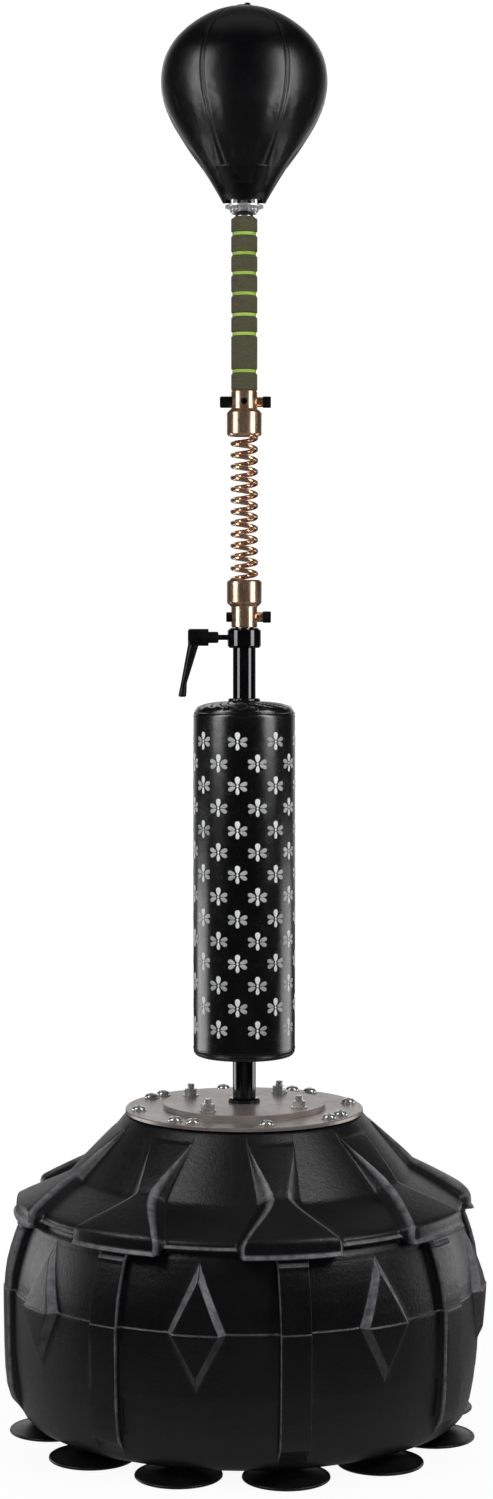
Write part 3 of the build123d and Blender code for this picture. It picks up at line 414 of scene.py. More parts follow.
# Each row across the tank, from the rim down: radius and height of the plain skin, radius and
# height of what stands proud of it (an arm, then a rib), half the width of the proud part's
# flat top and of its foot. Millimetres.
TANK_ROWS = (
    (127.5, 338.5, 127.5, 338.5, 24.5, 25.5),
    (130.2, 337.9, 130.2, 337.9, 24.5, 25.5),
    (132.0, 336.2, 132.0, 336.2, 24.5, 25.5),
    (139.5, 327.0, 139.8, 327.3, 24.4, 25.5),
    (141.0, 325.2, 142.2, 326.4, 23.8, 25.4),
    (146.0, 319.0, 148.4, 321.0, 22.2, 25.3),
    (157.0, 305.5, 161.8, 309.2, 16.8, 25.0),
    (168.0, 292.0, 175.2, 297.4, 11.2, 24.7),
    (177.0, 281.0, 186.0, 287.2, 7.2, 24.5),
    (181.5, 275.5, 190.6, 282.2, 6.3, 24.6),
    (183.4, 273.4, 192.2, 281.0, 6.4, 25.2),
    (185.6, 271.8, 194.2, 279.8, 7.2, 26.0),
    (194.0, 267.2, 203.2, 275.2, 11.5, 30.0),
    (204.0, 262.0, 213.4, 270.0, 18.3, 36.2),
    (215.0, 256.4, 224.4, 264.2, 26.7, 43.2),
    (226.0, 250.8, 235.6, 258.2, 35.7, 50.0),
    (232.4, 247.4, 243.6, 253.6, 41.0, 54.0),
    (234.4, 246.0, 246.8, 251.8, 43.5, 55.5),
    (235.8, 244.6, 248.8, 250.0, 45.0, 56.6),
    (236.4, 243.2, 250.0, 247.8, 46.2, 57.2),
    (236.7, 241.9, 250.5, 245.0, 47.0, 57.6),
    (237.4, 241.0, 250.7, 241.0, 47.4, 57.8),
    (238.8, 240.2, 250.9, 237.6, 47.4, 57.8),
    (239.4, 239.2, 251.6, 235.6, 47.4, 57.8),
    (239.0, 238.2, 253.0, 234.4, 47.4, 57.8),
    (237.0, 237.5, 253.8, 233.2, 47.4, 57.8),
    (233.6, 236.8, 253.4, 232.0, 47.0, 57.4),
    (233.2, 234.0, 251.6, 231.3, 46.0, 56.6),
    (234.8, 231.0, 248.8, 230.8, 44.0, 55.0),
    (236.2, 229.4, 246.4, 230.2, 15.2, 20.0),
    (237.2, 227.4, 247.0, 227.6, 15.0, 18.4),
    (237.6, 226.4, 247.8, 226.2, 15.0, 18.2),
    (238.0, 225.4, 249.4, 225.2, 15.0, 18.0),
    (238.4, 224.2, 250.2, 224.2, 15.0, 17.8),
    (238.8, 223.2, 250.0, 223.0, 14.8, 17.6),
    (239.4, 222.0, 249.6, 221.4, 14.6, 17.6),
    (242.4, 214.0, 252.4, 214.4, 14.6, 17.6),
    (247.0, 200.0, 257.0, 200.4, 14.8, 17.6),
    (251.0, 185.0, 261.0, 185.3, 14.8, 17.6),
    (254.0, 170.0, 263.2, 170.2, 14.8, 17.6),
    (255.3, 159.4, 264.0, 159.4, 14.8, 17.6),
    (255.5, 158.6, 264.1, 158.6, 14.8, 17.6),
    (256.5, 157.9, 264.9, 157.9, 14.8, 17.6),
    (256.9, 156.9, 265.1, 156.9, 14.8, 17.6),
    (257.0, 140.0, 265.0, 140.0, 14.8, 17.6),
    (256.8, 115.0, 264.6, 115.0, 14.8, 17.6),
    (256.2, 92.0, 264.2, 92.0, 14.8, 17.6),
    (254.4, 70.0, 263.2, 68.0, 14.8, 17.6),
    (252.4, 54.0, 261.2, 50.0, 14.8, 17.6),
    (250.8, 45.0, 258.4, 40.4, 14.8, 17.6),
    (248.6, 34.0, 252.2, 33.6, 14.8, 17.6),
    (246.6, 26.5, 247.2, 27.0, 14.8, 17.6),
    (243.6, 20.4, 243.6, 20.4, 14.8, 17.6),
    (239.6, 16.4, 239.6, 16.4, 14.8, 17.6),
    (234.0, 14.4, 234.0, 14.4, 14.8, 17.6),
    (229.0, 14.0, 229.0, 14.0, 14.8, 17.6),
)
# A diamond between two ribs: height, half its width, and how far its face stands proud
DIAMOND = ((227.0, 0.0, 3.0), (PARTING, 31.5, 9.6), (98.0, 0.0, 6.0))
DIAMOND_BEVEL = 8.4
ROW_STEP = 3.0  # longest step between two rows, in millimetres
TOP_COLUMNS, FIELD_COLUMNS, FACE_COLUMNS = 5, 9, 6
# Across a bevel with rounded edges: share of its width, share of its drop
BEVEL = ((0.0, 0.0), (0.1, 0.03), (0.22, 0.14), (0.5, 0.5), (0.78, 0.86), (0.9, 0.97), (1.0, 1.0))


def fine_rows(rows, step):
    """The rows with more between them, so that none is further than step from the next."""
    rows = np.array(rows)
    out = [rows[0]]
    for above, below in zip(rows, rows[1:]):
        length = max(hypot(below[0] - above[0], below[1] - above[1]), 0.01)
        count = max(1, round(length / step))
        out += [above + (below - above) * k / count for k in range(1, count + 1)]
    return np.array(out)


def half_sector(row):
    """Along half a sector of one row: distance round the skin from the rib's middle, share of
    the proud part's height, and how far the diamond rises."""
    skin_r, skin_z, _, _, flat, foot = row
    end = HALF_SECTOR * skin_r
    heights = [d[0] for d in DIAMOND][::-1]
    wide = float(np.interp(skin_z, heights, [d[1] for d in DIAMOND][::-1]))
    rise = float(np.interp(skin_z, heights, [d[2] for d in DIAMOND][::-1]))
    inside = heights[0] < skin_z < heights[-1]
    outer_edge = end - max(wide, 0.6)
    inner_edge = min(end - max(wide - DIAMOND_BEVEL, 0.3), end - 0.3)
    outer_edge = max(outer_edge, foot + 4.0)
    inner_edge = max(inner_edge, outer_edge + 0.3)
    if not inside:
        rise = 0.0
    rise *= min(1.0, wide / DIAMOND_BEVEL)
    columns = [(flat * k / TOP_COLUMNS, 1.0, 0.0) for k in range(TOP_COLUMNS)]
    columns += [(flat + (foot - flat) * t, 1.0 - drop, 0.0) for t, drop in BEVEL]
    gap = outer_edge - foot
    columns += [(foot + gap * k / FIELD_COLUMNS, 0.0, 0.0) for k in range(1, FIELD_COLUMNS)]
    columns += [(outer_edge + (inner_edge - outer_edge) * t, 0.0, rise * drop) for t, drop in BEVEL]
    face = end - inner_edge
    columns += [(inner_edge + face * k / FACE_COLUMNS, 0.0, rise) for k in range(1, FACE_COLUMNS)]
    columns.append((end, 0.0, rise))
    return np.array(columns)


# Heights of the lips' edges that get a painted highlight: on the skin, on an arm, on a rib's top
LIP_HEIGHTS = ((238.6, 241.2), (232.2, 235.6), (223.2, 226.4))
# Inside of the tank from the mouth in the lid down to its floor: radius and height
TANK_INSIDE = (
    (84.0, 338.5), (84.0, 334.0), (124.0, 333.6), (173.0, 276.0), (228.0, 238.0), (248.0, 168.0),
    (250.0, 90.0), (243.0, 42.0), (232.0, 19.0),
)
UNDERSIDE_Z, FLOOR_Z = 14.0, 18.5  # the tank's lowest faces, outside and inside


def painted_highlight_of(row, proud, rise):
    """How much painted highlight each point of one row gets, from 0 to 1: bevels, lips and the
    parting line.
    """
    step = hypot(row[2] - row[0], row[3] - row[1])
    painted_edge_highlight = ((proud > 0.8) & (proud < 0.99)) * min(1.0, step / 6.0)
    on_bevel = (rise > 0.4) & (rise < 0.98 * max(rise.max(), 0.5))
    # bevels above the parting line face the light and get a stronger painted highlight than those
    # below
    painted_edge_highlight = painted_edge_highlight + on_bevel * (1.0 if row[1] > PARTING else 0.3)
    for k, (low, high) in enumerate(LIP_HEIGHTS):
        on_part = proud < 0.05 if k == 0 else proud > 0.5
        level = row[1] if k == 0 else row[3]
        painted_edge_highlight = painted_edge_highlight + on_part * float(low <= level <= high) * 0.9
    # the parting line gets a thin painted highlight
    painted_edge_highlight = painted_edge_highlight + (abs(row[1] - PARTING) < 0.8) * 0.4
    return np.minimum(painted_edge_highlight, 1.0)


def tank_shell():
    """Points and faces of the tank, and how much painted highlight each point gets."""
    rows = fine_rows(TANK_ROWS, ROW_STEP)
    grid, painted_highlight = [], []
    for row in rows:
        half = half_sector(row)
        arc = np.concatenate([half[:, 0], -half[1:-1, 0][::-1]])
        proud = np.concatenate([half[:, 1], half[1:-1, 1][::-1]])
        rise = np.concatenate([half[:, 2], half[1:-1, 2][::-1]])
        radius = row[0] + (row[2] - row[0]) * proud + rise
        painted_highlight.append(np.tile(painted_highlight_of(row, proud, rise), RIB_COUNT))
        height = row[1] + (row[3] - row[1]) * proud
        # the mirrored half runs up to the next rib, so its angles are measured from there
        angle = arc / row[0]
        angle = np.where(np.arange(len(arc)) >= len(half), angle + 2 * HALF_SECTOR, angle)
        ring = []
        for k in range(RIB_COUNT):
            turn = TANK_PATTERN + k * 2 * HALF_SECTOR + angle
            ring.append(around(radius, turn, height))
        grid.append(np.concatenate(ring))
    grid = np.array(grid) * MM
    columns = grid.shape[1]
    turn = TANK_PATTERN + np.linspace(0, 2 * pi, columns, endpoint=False)
    inner = [around(radius, turn, height) * MM for radius, height in TANK_INSIDE]
    points = list(grid.reshape(-1, 3))
    rows_out = len(grid)
    faces = grid_faces(rows_out, columns)
    first_inner = len(points)
    points += [point for ring in inner for point in ring]
    # rim: from the outer shell's first row in to the mouth
    for j in range(columns):
        k = (j + 1) % columns
        faces.append((j, k, first_inner + k, first_inner + j))
    faces += grid_faces(len(inner), columns, first=first_inner)
    points.append((0.0, 0.0, UNDERSIDE_Z * MM))
    bottom = len(points) - 1
    last = (rows_out - 1) * columns
    faces += [(last + j, last + (j + 1) % columns, bottom) for j in range(columns)]
    points.append((0.0, 0.0, FLOOR_Z * MM))
    floor = len(points) - 1
    last = first_inner + (len(inner) - 1) * columns
    faces += [(last + (j + 1) % columns, last + j, floor) for j in range(columns)]
    painted_highlight = np.concatenate(painted_highlight)
    return points, faces, np.concatenate([painted_highlight, np.zeros(len(points) - len(painted_highlight))])


tank_points, tank_faces, tank_painted_highlight = tank_shell()
tank = make_object("ballast_tank", tank_points, tank_faces, materials["tank_plastic"], crease=40.0)
# per-point share of the painted edge highlight, read by the tank's material
tank.data.attributes.new("painted_highlight", "FLOAT", "POINT").data.foreach_set("value", tank_painted_highlight)
stand_in(tank, "tank_plastic", "base", "base_tank")

# ------------------------------------------------------------------ suction feet
CUP_COUNT, CUP_CIRCLE = 12, 213.7
# Radius and height from the stem's top over the cup's rim to its hollow underside
CUP_OUTLINE = (
    (0.0, 25.8), (7.3, 25.8), (7.5, 24.0), (7.5, 13.9), (10.2, 13.7), (11.2, 12.4), (12.2, 10.6),
    (14.5, 9.2), (18.0, 8.2), (23.0, 6.9), (28.0, 5.7), (33.0, 4.6), (37.0, 3.7), (40.5, 2.9),
    (42.6, 2.6), (43.6, 2.9), (44.6, 2.8), (45.3, 2.2), (45.6, 1.3), (45.5, 0.5), (45.0, 0.0),
    (44.0, 0.0), (42.5, 0.3), (38.0, 1.5), (30.0, 3.1), (20.0, 4.6), (12.0, 5.7), (0.0, 6.3),
)


def suction_feet():
    parts = []
    for k in range(CUP_COUNT):
        angle = TANK_PATTERN + k * 2 * pi / CUP_COUNT
        centre = (CUP_CIRCLE * MM * cos(angle), CUP_CIRCLE * MM * sin(angle))
        parts.append(turned_mesh(in_metres(CUP_OUTLINE), 64, centre))
    return joined(parts)


feet = make_object("suction_feet", *suction_feet(), materials["cup_rubber"], crease=50.0)
stand_in(feet, "cup_rubber", "base", "suction_cups")


# ------------------------------------------------------------------ cloth
def inflated(obj, pressure, cap, pinned, frames=20, shrink=0.0, stiffness=15.0):
    """Blow the object up as cloth, hold what is pinned and cap how far each point may move."""
    scene = bpy.context.scene
    rest = coordinates(obj.data)
    group = obj.vertex_groups.new(name="held")
    for index, weight in enumerate(pinned):
        if weight > 0.0:
            group.add([index], float(weight), "REPLACE")
    modifier = obj.modifiers.new("cloth", "CLOTH")
    cloth = modifier.settings
    cloth.quality = 6
    cloth.mass = 0.3
    cloth.use_pressure = True
    cloth.uniform_pressure_force = pressure
    cloth.effector_weights.gravity = 0.0
    cloth.vertex_group_mass = group.name
    cloth.pin_stiffness = 1.0
    cloth.shrink_min = shrink
    cloth.tension_stiffness = stiffness
    cloth.compression_stiffness = stiffness
    cloth.shear_stiffness = 5.0
    cloth.bending_stiffness = 0.5
    modifier.collision_settings.use_collision = False
    modifier.collision_settings.use_self_collision = False
    modifier.point_cache.frame_start = 1
    modifier.point_cache.frame_end = frames
    for frame_number in range(1, frames + 1):
        scene.frame_set(frame_number)
    graph = bpy.context.evaluated_depsgraph_get()
    step = coordinates(obj.evaluated_get(graph).data) - rest
    length = np.linalg.norm(step, axis=1)[:, None]
    step *= np.minimum(1.0, cap / np.maximum(length, 1e-9))
    obj.modifiers.remove(modifier)
    obj.vertex_groups.remove(group)
    obj.data.vertices.foreach_set("co", (rest + step).reshape(-1))
    obj.data.update()
    scene.frame_set(1)


# ------------------------------------------------------------------ target sleeve
SLEEVE_R, SLEEVE_TOP = 56.0, 793.0
PIPING_R, PIPING_Z, HEM_Z = 54.9, 779.5, 405.5
SLEEVE_COLUMNS = 192
POLE_CLEAR = 13.2  # the cover's mouth around the pole
DOME_R, DOME_MOUTH_R, DOME_ROWS = 54.6, 16.5, 14
FOLDS = 17  # gathers between the piping and the pole
FOLD_DEPTH = 2.9


def sleeve_outline():
    rows = [
        (POLE_CLEAR, 402.6), (20.0, 401.0), (34.0, 400.4), (46.0, 400.5), (50.0, 401.0),
        (52.6, 402.0), (54.3, 403.4), (55.0, HEM_Z - 0.6), (55.0, HEM_Z + 0.6),
        (55.6, HEM_Z + 2.4),
    ]
    rows += [(SLEEVE_R - 0.3, z) for z in np.arange(HEM_Z + 5.5, PIPING_Z - 4.0, 3.1)]
    rows += [(55.5, PIPING_Z - 2.0), (PIPING_R, PIPING_Z - 0.7), (PIPING_R, PIPING_Z + 0.7)]
    rows.append((DOME_R, PIPING_Z + 2.0))
    rise = SLEEVE_TOP - 1.2 - PIPING_Z - 2.0
    for k in range(1, DOME_ROWS + 1):
        t = k / DOME_ROWS
        radius = DOME_R + (DOME_MOUTH_R - DOME_R) * t
        rows.append((radius, PIPING_Z + 2.0 + rise * sqrt(1 - (1 - t) ** 2) ** 0.9))
    rows += [(15.0, SLEEVE_TOP - 2.4), (14.0, SLEEVE_TOP - 6.0), (POLE_CLEAR, SLEEVE_TOP - 12.0)]
    return rows


def gathered(grid, angles):
    """Swirled gathers over the sleeve's domed top."""
    radius = np.hypot(grid[..., 0], grid[..., 1])
    height = grid[..., 2]
    top = height > (PIPING_Z + 1.0) * MM
    reach = np.clip((DOME_R * MM - radius) / (38.0 * MM), 0.0, 1.0)
    swirl = angles[None, :] + 1.1 * reach
    uneven = 0.25 * np.sin(3 * swirl + 0.7) + 0.18 * np.sin(5 * swirl + 2.1)
    fold = np.abs(np.sin(0.5 * FOLDS * swirl + uneven))
    depth = FOLD_DEPTH * MM * smoothstep(reach / 0.18)
    depth = depth * (1 - 0.35 * smoothstep((reach - 0.6) / 0.4))
    drop = np.where(top, (1.0 - fold) * depth, 0.0)
    grid[..., 2] = height - drop
    return grid


def make_sleeve():
    mesh = turned_mesh(in_metres(sleeve_outline()), SLEEVE_COLUMNS, shape=gathered)
    return make_object("target_sleeve", *mesh, materials["target_leather"], crease=60.0)


sleeve = make_sleeve()
spots = coordinates(sleeve.data) / MM
upright = (spots[:, 2] > HEM_Z + 1.5) & (spots[:, 2] < PIPING_Z - 1.0)
inflated(sleeve, pressure=2.2, cap=1.1 * MM, pinned=np.where(upright, 0.0, 1.0), shrink=-0.012)
stand_in(sleeve, "target_leather", "base", "target_cover", "target_foam")


def ring_path(radius, height, count):
    return around(radius, np.arange(count) * 2 * pi / count, height)


for name, height, thick in (("sleeve_piping", PIPING_Z, 1.0), ("sleeve_hem_piping", HEM_Z, 0.8)):
    bead = tube_mesh(ring_path(PIPING_R, height, SLEEVE_COLUMNS) * MM, thick * MM, 12, closed=True)
    piping = make_object(name, *bead, materials["target_leather"], crease=60.0)
    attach(piping, "base")

# The rolled rim that the gathers end in, round the pole
RIM_R, RIM_COUNT, RIM_THICK, RIM_SWELL = 15.5, 204, 2.05, 0.3
rim_turn = np.arange(RIM_COUNT) * 2 * pi / RIM_COUNT
rim_thick = RIM_THICK + RIM_SWELL * np.abs(np.sin(0.5 * FOLDS * rim_turn))
rim = make_object(
    "sleeve_top_rim",
    *tube_mesh(ring_path(RIM_R, SLEEVE_TOP, RIM_COUNT) * MM, rim_thick * MM, 14, closed=True),
    materials[slot_of["target_top_ring"]],
    crease=60.0,
)
stand_in(rim, slot_of["target_top_ring"], "base", "target_top_ring")

# Stitches just below the top piping and just above the hem
STITCHES, STITCH_LENGTH, THREAD_R, STITCH_LINE_R = 150, 1.6, 0.28, 56.05


def stitch_row(height):
    parts = []
    for k in range(STITCHES):
        middle = 2 * pi * k / STITCHES
        half = 0.5 * STITCH_LENGTH / STITCH_LINE_R
        angles = middle + np.linspace(-half, half, 5)
        reach = STITCH_LINE_R + np.array([-0.35, 0.25, 0.4, 0.25, -0.35]) * THREAD_R * 2
        parts.append(tube_mesh(around(reach, angles, height) * MM, THREAD_R * MM, 6))
    return joined(parts)


stitches = make_object(
    "sleeve_stitches",
    *joined([stitch_row(PIPING_Z - 4.4), stitch_row(HEM_Z + 4.6)]),
    materials["thread"],
    crease=60.0,
)
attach(stitches, "base")

# The print: staggered rows of a plain four-petal motif
PRINT_ROWS, PRINT_COUNT = 14, 8
PRINT_TOP, PRINT_PITCH = 748.9, 24.1
PRINT_PHASE = radians(-90.0 - 7.5)
INK_TOP, INK_ROOT = 0.22, -0.35  # the ink's top and root, off the sleeve's skin
surface = BVHTree.FromObject(sleeve, bpy.context.evaluated_depsgraph_get())


def on_sleeve(angle, height, lift):
    """The point that stands lift (mm) off the sleeve at an angle and a height (mm)."""
    out = Vector((cos(angle), sin(angle), 0.0))
    hit = surface.ray_cast(out * 0.08 + Vector((0, 0, height * MM)), -out)[0]
    reach = hypot(hit.x, hit.y) if hit else SLEEVE_R * MM
    reach += lift * MM
    return (out.x * reach, out.y * reach, height * MM)


def blot(angle, height, outline):
    """A closed thin patch of print whose outline is (across, up) in millimetres."""
    points = []
    count = len(outline)
    middle = np.mean(outline, axis=0)
    for scale, lift in ((0.5, INK_TOP), (0.93, INK_TOP), (1.0, 0.1), (1.0, INK_ROOT)):
        for x, z in middle + (outline - middle) * scale:
            points.append(on_sleeve(angle + x / SLEEVE_R, height + z, lift))
    for lift in (INK_TOP, INK_ROOT):
        points.append(on_sleeve(angle + middle[0] / SLEEVE_R, height + middle[1], lift))
    faces = grid_faces(4, count)
    faces += [(len(points) - 2, (j + 1) % count, j) for j in range(count)]
    faces += [(len(points) - 1, 3 * count + j, 3 * count + (j + 1) % count) for j in range(count)]
    return points, faces


def petal(reach, width, start, turn, count=14):
    """A leaf from start to reach along a direction."""
    t = np.arange(count) * 2 * pi / count
    along = start + (reach - start) * 0.5 * (1 - np.cos(t))
    across = 0.5 * width * np.sin(t) * (0.75 + 0.25 * np.cos(t - pi))
    x, z = along * cos(turn) - across * sin(turn), along * sin(turn) + across * cos(turn)
    return np.stack([x, z], axis=-1)


def dot(radius, count=10):
    t = np.arange(count) * 2 * pi / count
    return np.stack([radius * np.cos(t), radius * np.sin(t)], axis=-1)


WHITE_SHAPES = [petal(10.4, 7.4, 1.5, pi / 2), petal(9.4, 5.4, 1.5, -pi / 2), dot(1.3)]
GREY_SHAPES = [petal(11.2, 6.0, 2.6, radians(turn)) for turn in (18, 162, -24, 204)]
for name, shapes, ink in (
    ("sleeve_print_light", WHITE_SHAPES, "print_white"),
    ("sleeve_print_dark", GREY_SHAPES, "print_grey"),
):
    parts = []
    for row in range(PRINT_ROWS):
        for k in range(PRINT_COUNT):
            angle = PRINT_PHASE + 2 * pi * (k + 0.5 * (row % 2)) / PRINT_COUNT
            height = PRINT_TOP - row * PRINT_PITCH
            parts += [blot(angle, height, outline) for outline in shapes]
    printed = make_object(name, *joined(parts), materials[ink], crease=60.0)
    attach(printed, "base")

# ------------------------------------------------------------------ reflex spring
SPRING_R, WIRE_R, SPRING_PITCH = 15.6, 2.75, 12.5
SPRING_LOW, SPRING_HIGH, SPRING_MIDDLE = 915.3, 1093.7, 1004.5
SPRING_RIGHT = 1045.0  # a height at which the wire passes the right-hand side
TURN_POINTS = 32


def coil(low, high):
    """Left-handed wire between two heights, cut square at each end."""
    turns = (high - low) / SPRING_PITCH
    count = int(turns * TURN_POINTS) + 1
    height = np.linspace(low, high, count)
    turn = -2 * pi * (height - SPRING_RIGHT) / SPRING_PITCH
    return tube_mesh(around(SPRING_R - WIRE_R, turn, height) * MM, WIRE_R * MM, 20)


for name, low, high, below, above in (
    ("spring_lower", SPRING_LOW, SPRING_MIDDLE, "mast", "spring"),
    ("spring_upper", SPRING_MIDDLE, SPRING_HIGH, "spring", "head"),
):
    half = make_object(name, *coil(low, high), materials["spring_steel"], crease=50.0)
    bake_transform(half)
    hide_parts("reflex_spring")

# ------------------------------------------------------------------ lever's return spring
# It sits between the cap screw's head and the lever's floor; on the real lever it closes up as the
# lever is pulled out, but here it keeps one length and rides on the cap screw.
LEVER_Z = 862.3
RETURN_START, RETURN_END = -58.2, -53.6
RETURN_R, RETURN_WIRE_R, RETURN_PITCH = 3.1, 0.35, 1.35


def return_coil():
    """The coil drawn along Z, then laid along X."""
    along = np.linspace(RETURN_START, RETURN_END, 110)
    turn = 2 * pi * (along - RETURN_START) / RETURN_PITCH
    path = around(RETURN_R, turn, along)
    points, faces = tube_mesh(path * MM, RETURN_WIRE_R * MM, 10)
    return [(z, x, y + LEVER_Z * MM) for x, y, z in points], faces


return_spring = make_object("lever_spring", *return_coil(), materials["spring_steel"], crease=60.0)
stand_in(return_spring, "spring_steel", "clamp_screw", "lever_return_spring")
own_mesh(return_spring)

# ------------------------------------------------------------------ foam grip
GRIP_LOW, GRIP_HIGH, GRIP_R, GRIP_BORE = 1134.5, 1326.5, 14.85, 10.05
BAND_HEIGHTS = (1155.6, 1196.6, 1217.7, 1240.9, 1263.4, 1285.3, 1307.0)
BAND_HALF, BAND_FLOOR, BAND_SHOULDER = 1.75, 12.4, 1.3
RIB_PITCH, RIB_DEPTH, RIB_R = 1.6, 0.36, GRIP_R - 0.42
FOOT_R, END_R, END_SLOPE = 13.4, 10.6, 1.5  # the plain foot and the bevelled end


def grip_outline():
    """Fine ribs all along, a groove under each band, and a bevel at the top."""
    heights = np.arange(GRIP_LOW + 0.8, GRIP_HIGH - 0.79, 0.4)
    reach = RIB_R + RIB_DEPTH * np.cos(2 * pi * heights / RIB_PITCH)
    for band in BAND_HEIGHTS:
        away = np.abs(heights - band)
        pinched = BAND_FLOOR + (reach - BAND_FLOOR) * smoothstep((away - BAND_HALF) / BAND_SHOULDER)
        reach = np.where(away < BAND_HALF + BAND_SHOULDER, pinched, reach)
    rows = [(GRIP_BORE, GRIP_LOW), (FOOT_R, GRIP_LOW), *zip(reach, heights)]
    rows = [(min(r, END_R + END_SLOPE * (GRIP_HIGH - z)), z) for r, z in rows]
    rows += [(END_R + 0.2, GRIP_HIGH), (GRIP_BORE, GRIP_HIGH)]
    return in_metres(rows)


grip = make_object("grip", *turned_mesh(grip_outline(), 72), materials["grip_foam"], crease=70.0)
stand_in(grip, "grip_foam", "head", "grip_foam")

# ------------------------------------------------------------------ ball
# Height and radius of the ball from its crown down into the boot
BALL_PROFILE = (
    (1558.6, 0.0), (1558.3, 9.0), (1557.2, 16.0), (1555.4, 24.0), (1552.8, 32.5), (1549.2, 40.5),
    (1544.0, 49.8), (1538.2, 58.2), (1531.8, 66.2), (1525.4, 72.8), (1519.0, 78.2), (1512.6, 82.4),
    (1506.0, 86.0), (1499.5, 88.6), (1493.0, 90.4), (1484.6, 91.8), (1476.0, 92.3), (1468.0, 92.0),
    (1460.0, 91.0), (1446.8, 87.6), (1433.6, 82.0), (1420.3, 75.0), (1407.1, 66.9), (1393.8, 57.0),
    (1380.6, 46.8), (1373.9, 41.8), (1366.0, 36.6), (1358.0, 32.0),
)
PANELS = 6
SECTOR = 2 * pi / PANELS
SEAM_PHASE = radians(-90.0 + 30.5)
PANEL_COLUMNS = 32
PANEL_CROWN = 0.7
SEAM_HOLD, BOOT_HOLD, CROWN_HOLD = 1.2, 1372.0, 1557.5  # half width at a seam, and two heights
WELT_TOP, WELT_LOW, WELT_R, WELT_LIFT = 1554.5, 1371.0, 0.62, -0.15


def ball_outline(step=2.2):
    """The profile drawn as a smooth line with even steps."""
    profile = np.array(BALL_PROFILE)[:, ::-1]
    along = np.concatenate([[0.0], np.cumsum(np.hypot(*np.diff(profile, axis=0).T))])
    count = int(along[-1] / step)
    even = np.linspace(0.0, along[-1], count)
    radius, height = np.interp(even, along, profile[:, 0]), np.interp(even, along, profile[:, 1])
    for _ in range(6):
        radius[1:-1] = 0.25 * radius[:-2] + 0.5 * radius[1:-1] + 0.25 * radius[2:]
        height[1:-1] = 0.25 * height[:-2] + 0.5 * height[1:-1] + 0.25 * height[2:]
    return radius, height


def seam_distance(angles, radius):
    """How far around (mm) each angle is from the nearest seam."""
    off = np.abs((angles - SEAM_PHASE + SECTOR / 2) % SECTOR - SECTOR / 2)
    return off * radius


def ball_columns():
    """Angles that crowd at the seams."""
    t = np.linspace(-1.0, 1.0, PANEL_COLUMNS + 1)[:-1]
    across = 0.5 * SECTOR * (t - 0.22 * np.sin(pi * t))
    return np.concatenate([SEAM_PHASE + SECTOR / 2 + k * SECTOR + across for k in range(PANELS)])


def make_ball():
    """Points and faces, and how far each point of the rows is from a seam."""
    radius, height = ball_outline()
    angles = ball_columns()
    reach = radius[1:, None] + 0 * angles
    flat = seam_distance(angles[None, :], radius[1:, None])
    half_panel = pi / PANELS * radius[1:, None]
    # each panel crowns between its seams
    inward = 1.0 - np.clip(flat / np.maximum(half_panel, 1e-6), 0.0, 1.0)
    reach = reach + PANEL_CROWN * np.sqrt(1.0 - inward ** 2)
    grid = around(reach, angles, height[1:, None])
    points = list(grid.reshape(-1, 3) * MM)
    faces = grid_faces(len(grid), len(angles))
    points.append((0.0, 0.0, height[0] * MM - 0.4 * MM))
    faces += [(len(points) - 1, (j + 1) % len(angles), j) for j in range(len(angles))]
    return points, faces, flat


ball_points, ball_faces, seam_gap = make_ball()
ball = make_object("ball", ball_points, ball_faces, materials["ball_leather"], crease=75.0)
spots = coordinates(ball.data) / MM
# Seams, the part inside the boot and the crown are held
held = np.concatenate([(seam_gap.reshape(-1) < SEAM_HOLD).astype(float), [1.0]])
held = np.maximum(held, ((spots[:, 2] < BOOT_HOLD) | (spots[:, 2] > CROWN_HOLD)).astype(float))
inflated(ball, pressure=5.0, cap=1.3 * MM, pinned=held, shrink=0.004, stiffness=20.0)


def groove(obj, depth, width):
    """Pull the skin in along every seam."""
    data = coordinates(obj.data) / MM
    reach = np.hypot(data[:, 0], data[:, 1])
    gap = seam_distance(np.arctan2(data[:, 1], data[:, 0]), reach)
    pull = depth * np.exp(-((gap / width) ** 2)) * smoothstep(reach / 14.0)
    scale = (reach - pull) / np.maximum(reach, 1e-6)
    data[:, 0] *= scale
    data[:, 1] *= scale
    obj.data.vertices.foreach_set("co", (data * MM).reshape(-1))
    obj.data.update()


def subdivided(obj):
    modifier = obj.modifiers.new("finer", "SUBSURF")
    modifier.levels = modifier.render_levels = 1
    graph = bpy.context.evaluated_depsgraph_get()
    mesh = bpy.data.meshes.new_from_object(obj.evaluated_get(graph))
    obj.modifiers.clear()
    obj.data = mesh
    obj.data.polygons.foreach_set("use_smooth", [True] * len(obj.data.polygons))


subdivided(ball)
groove(ball, depth=1.5, width=1.3)
stand_in(ball, "ball_leather", "head", "ball_cover")

# Welts sewn into the seams
ball_surface = BVHTree.FromObject(ball, bpy.context.evaluated_depsgraph_get())


def on_ball(angle, height, lift):
    """The point that stands lift (mm) off the ball at an angle and a height (mm)."""
    out = Vector((cos(angle), sin(angle), 0.0))
    hit, normal = ball_surface.ray_cast(out * 0.2 + Vector((0, 0, height * MM)), -out)[:2]
    return hit + normal * lift * MM if normal.dot(out) > 0 else hit - normal * lift * MM


parts = []
for k in range(PANELS):
    angle = SEAM_PHASE + k * 2 * pi / PANELS
    path = [on_ball(angle, z, WELT_LIFT) for z in np.linspace(WELT_TOP, WELT_LOW, 110)]
    parts.append(tube_mesh(path, WELT_R * MM, 8))
welts = make_object("ball_welts", *joined(parts), materials["thread"], crease=60.0)
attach(welts, "head")

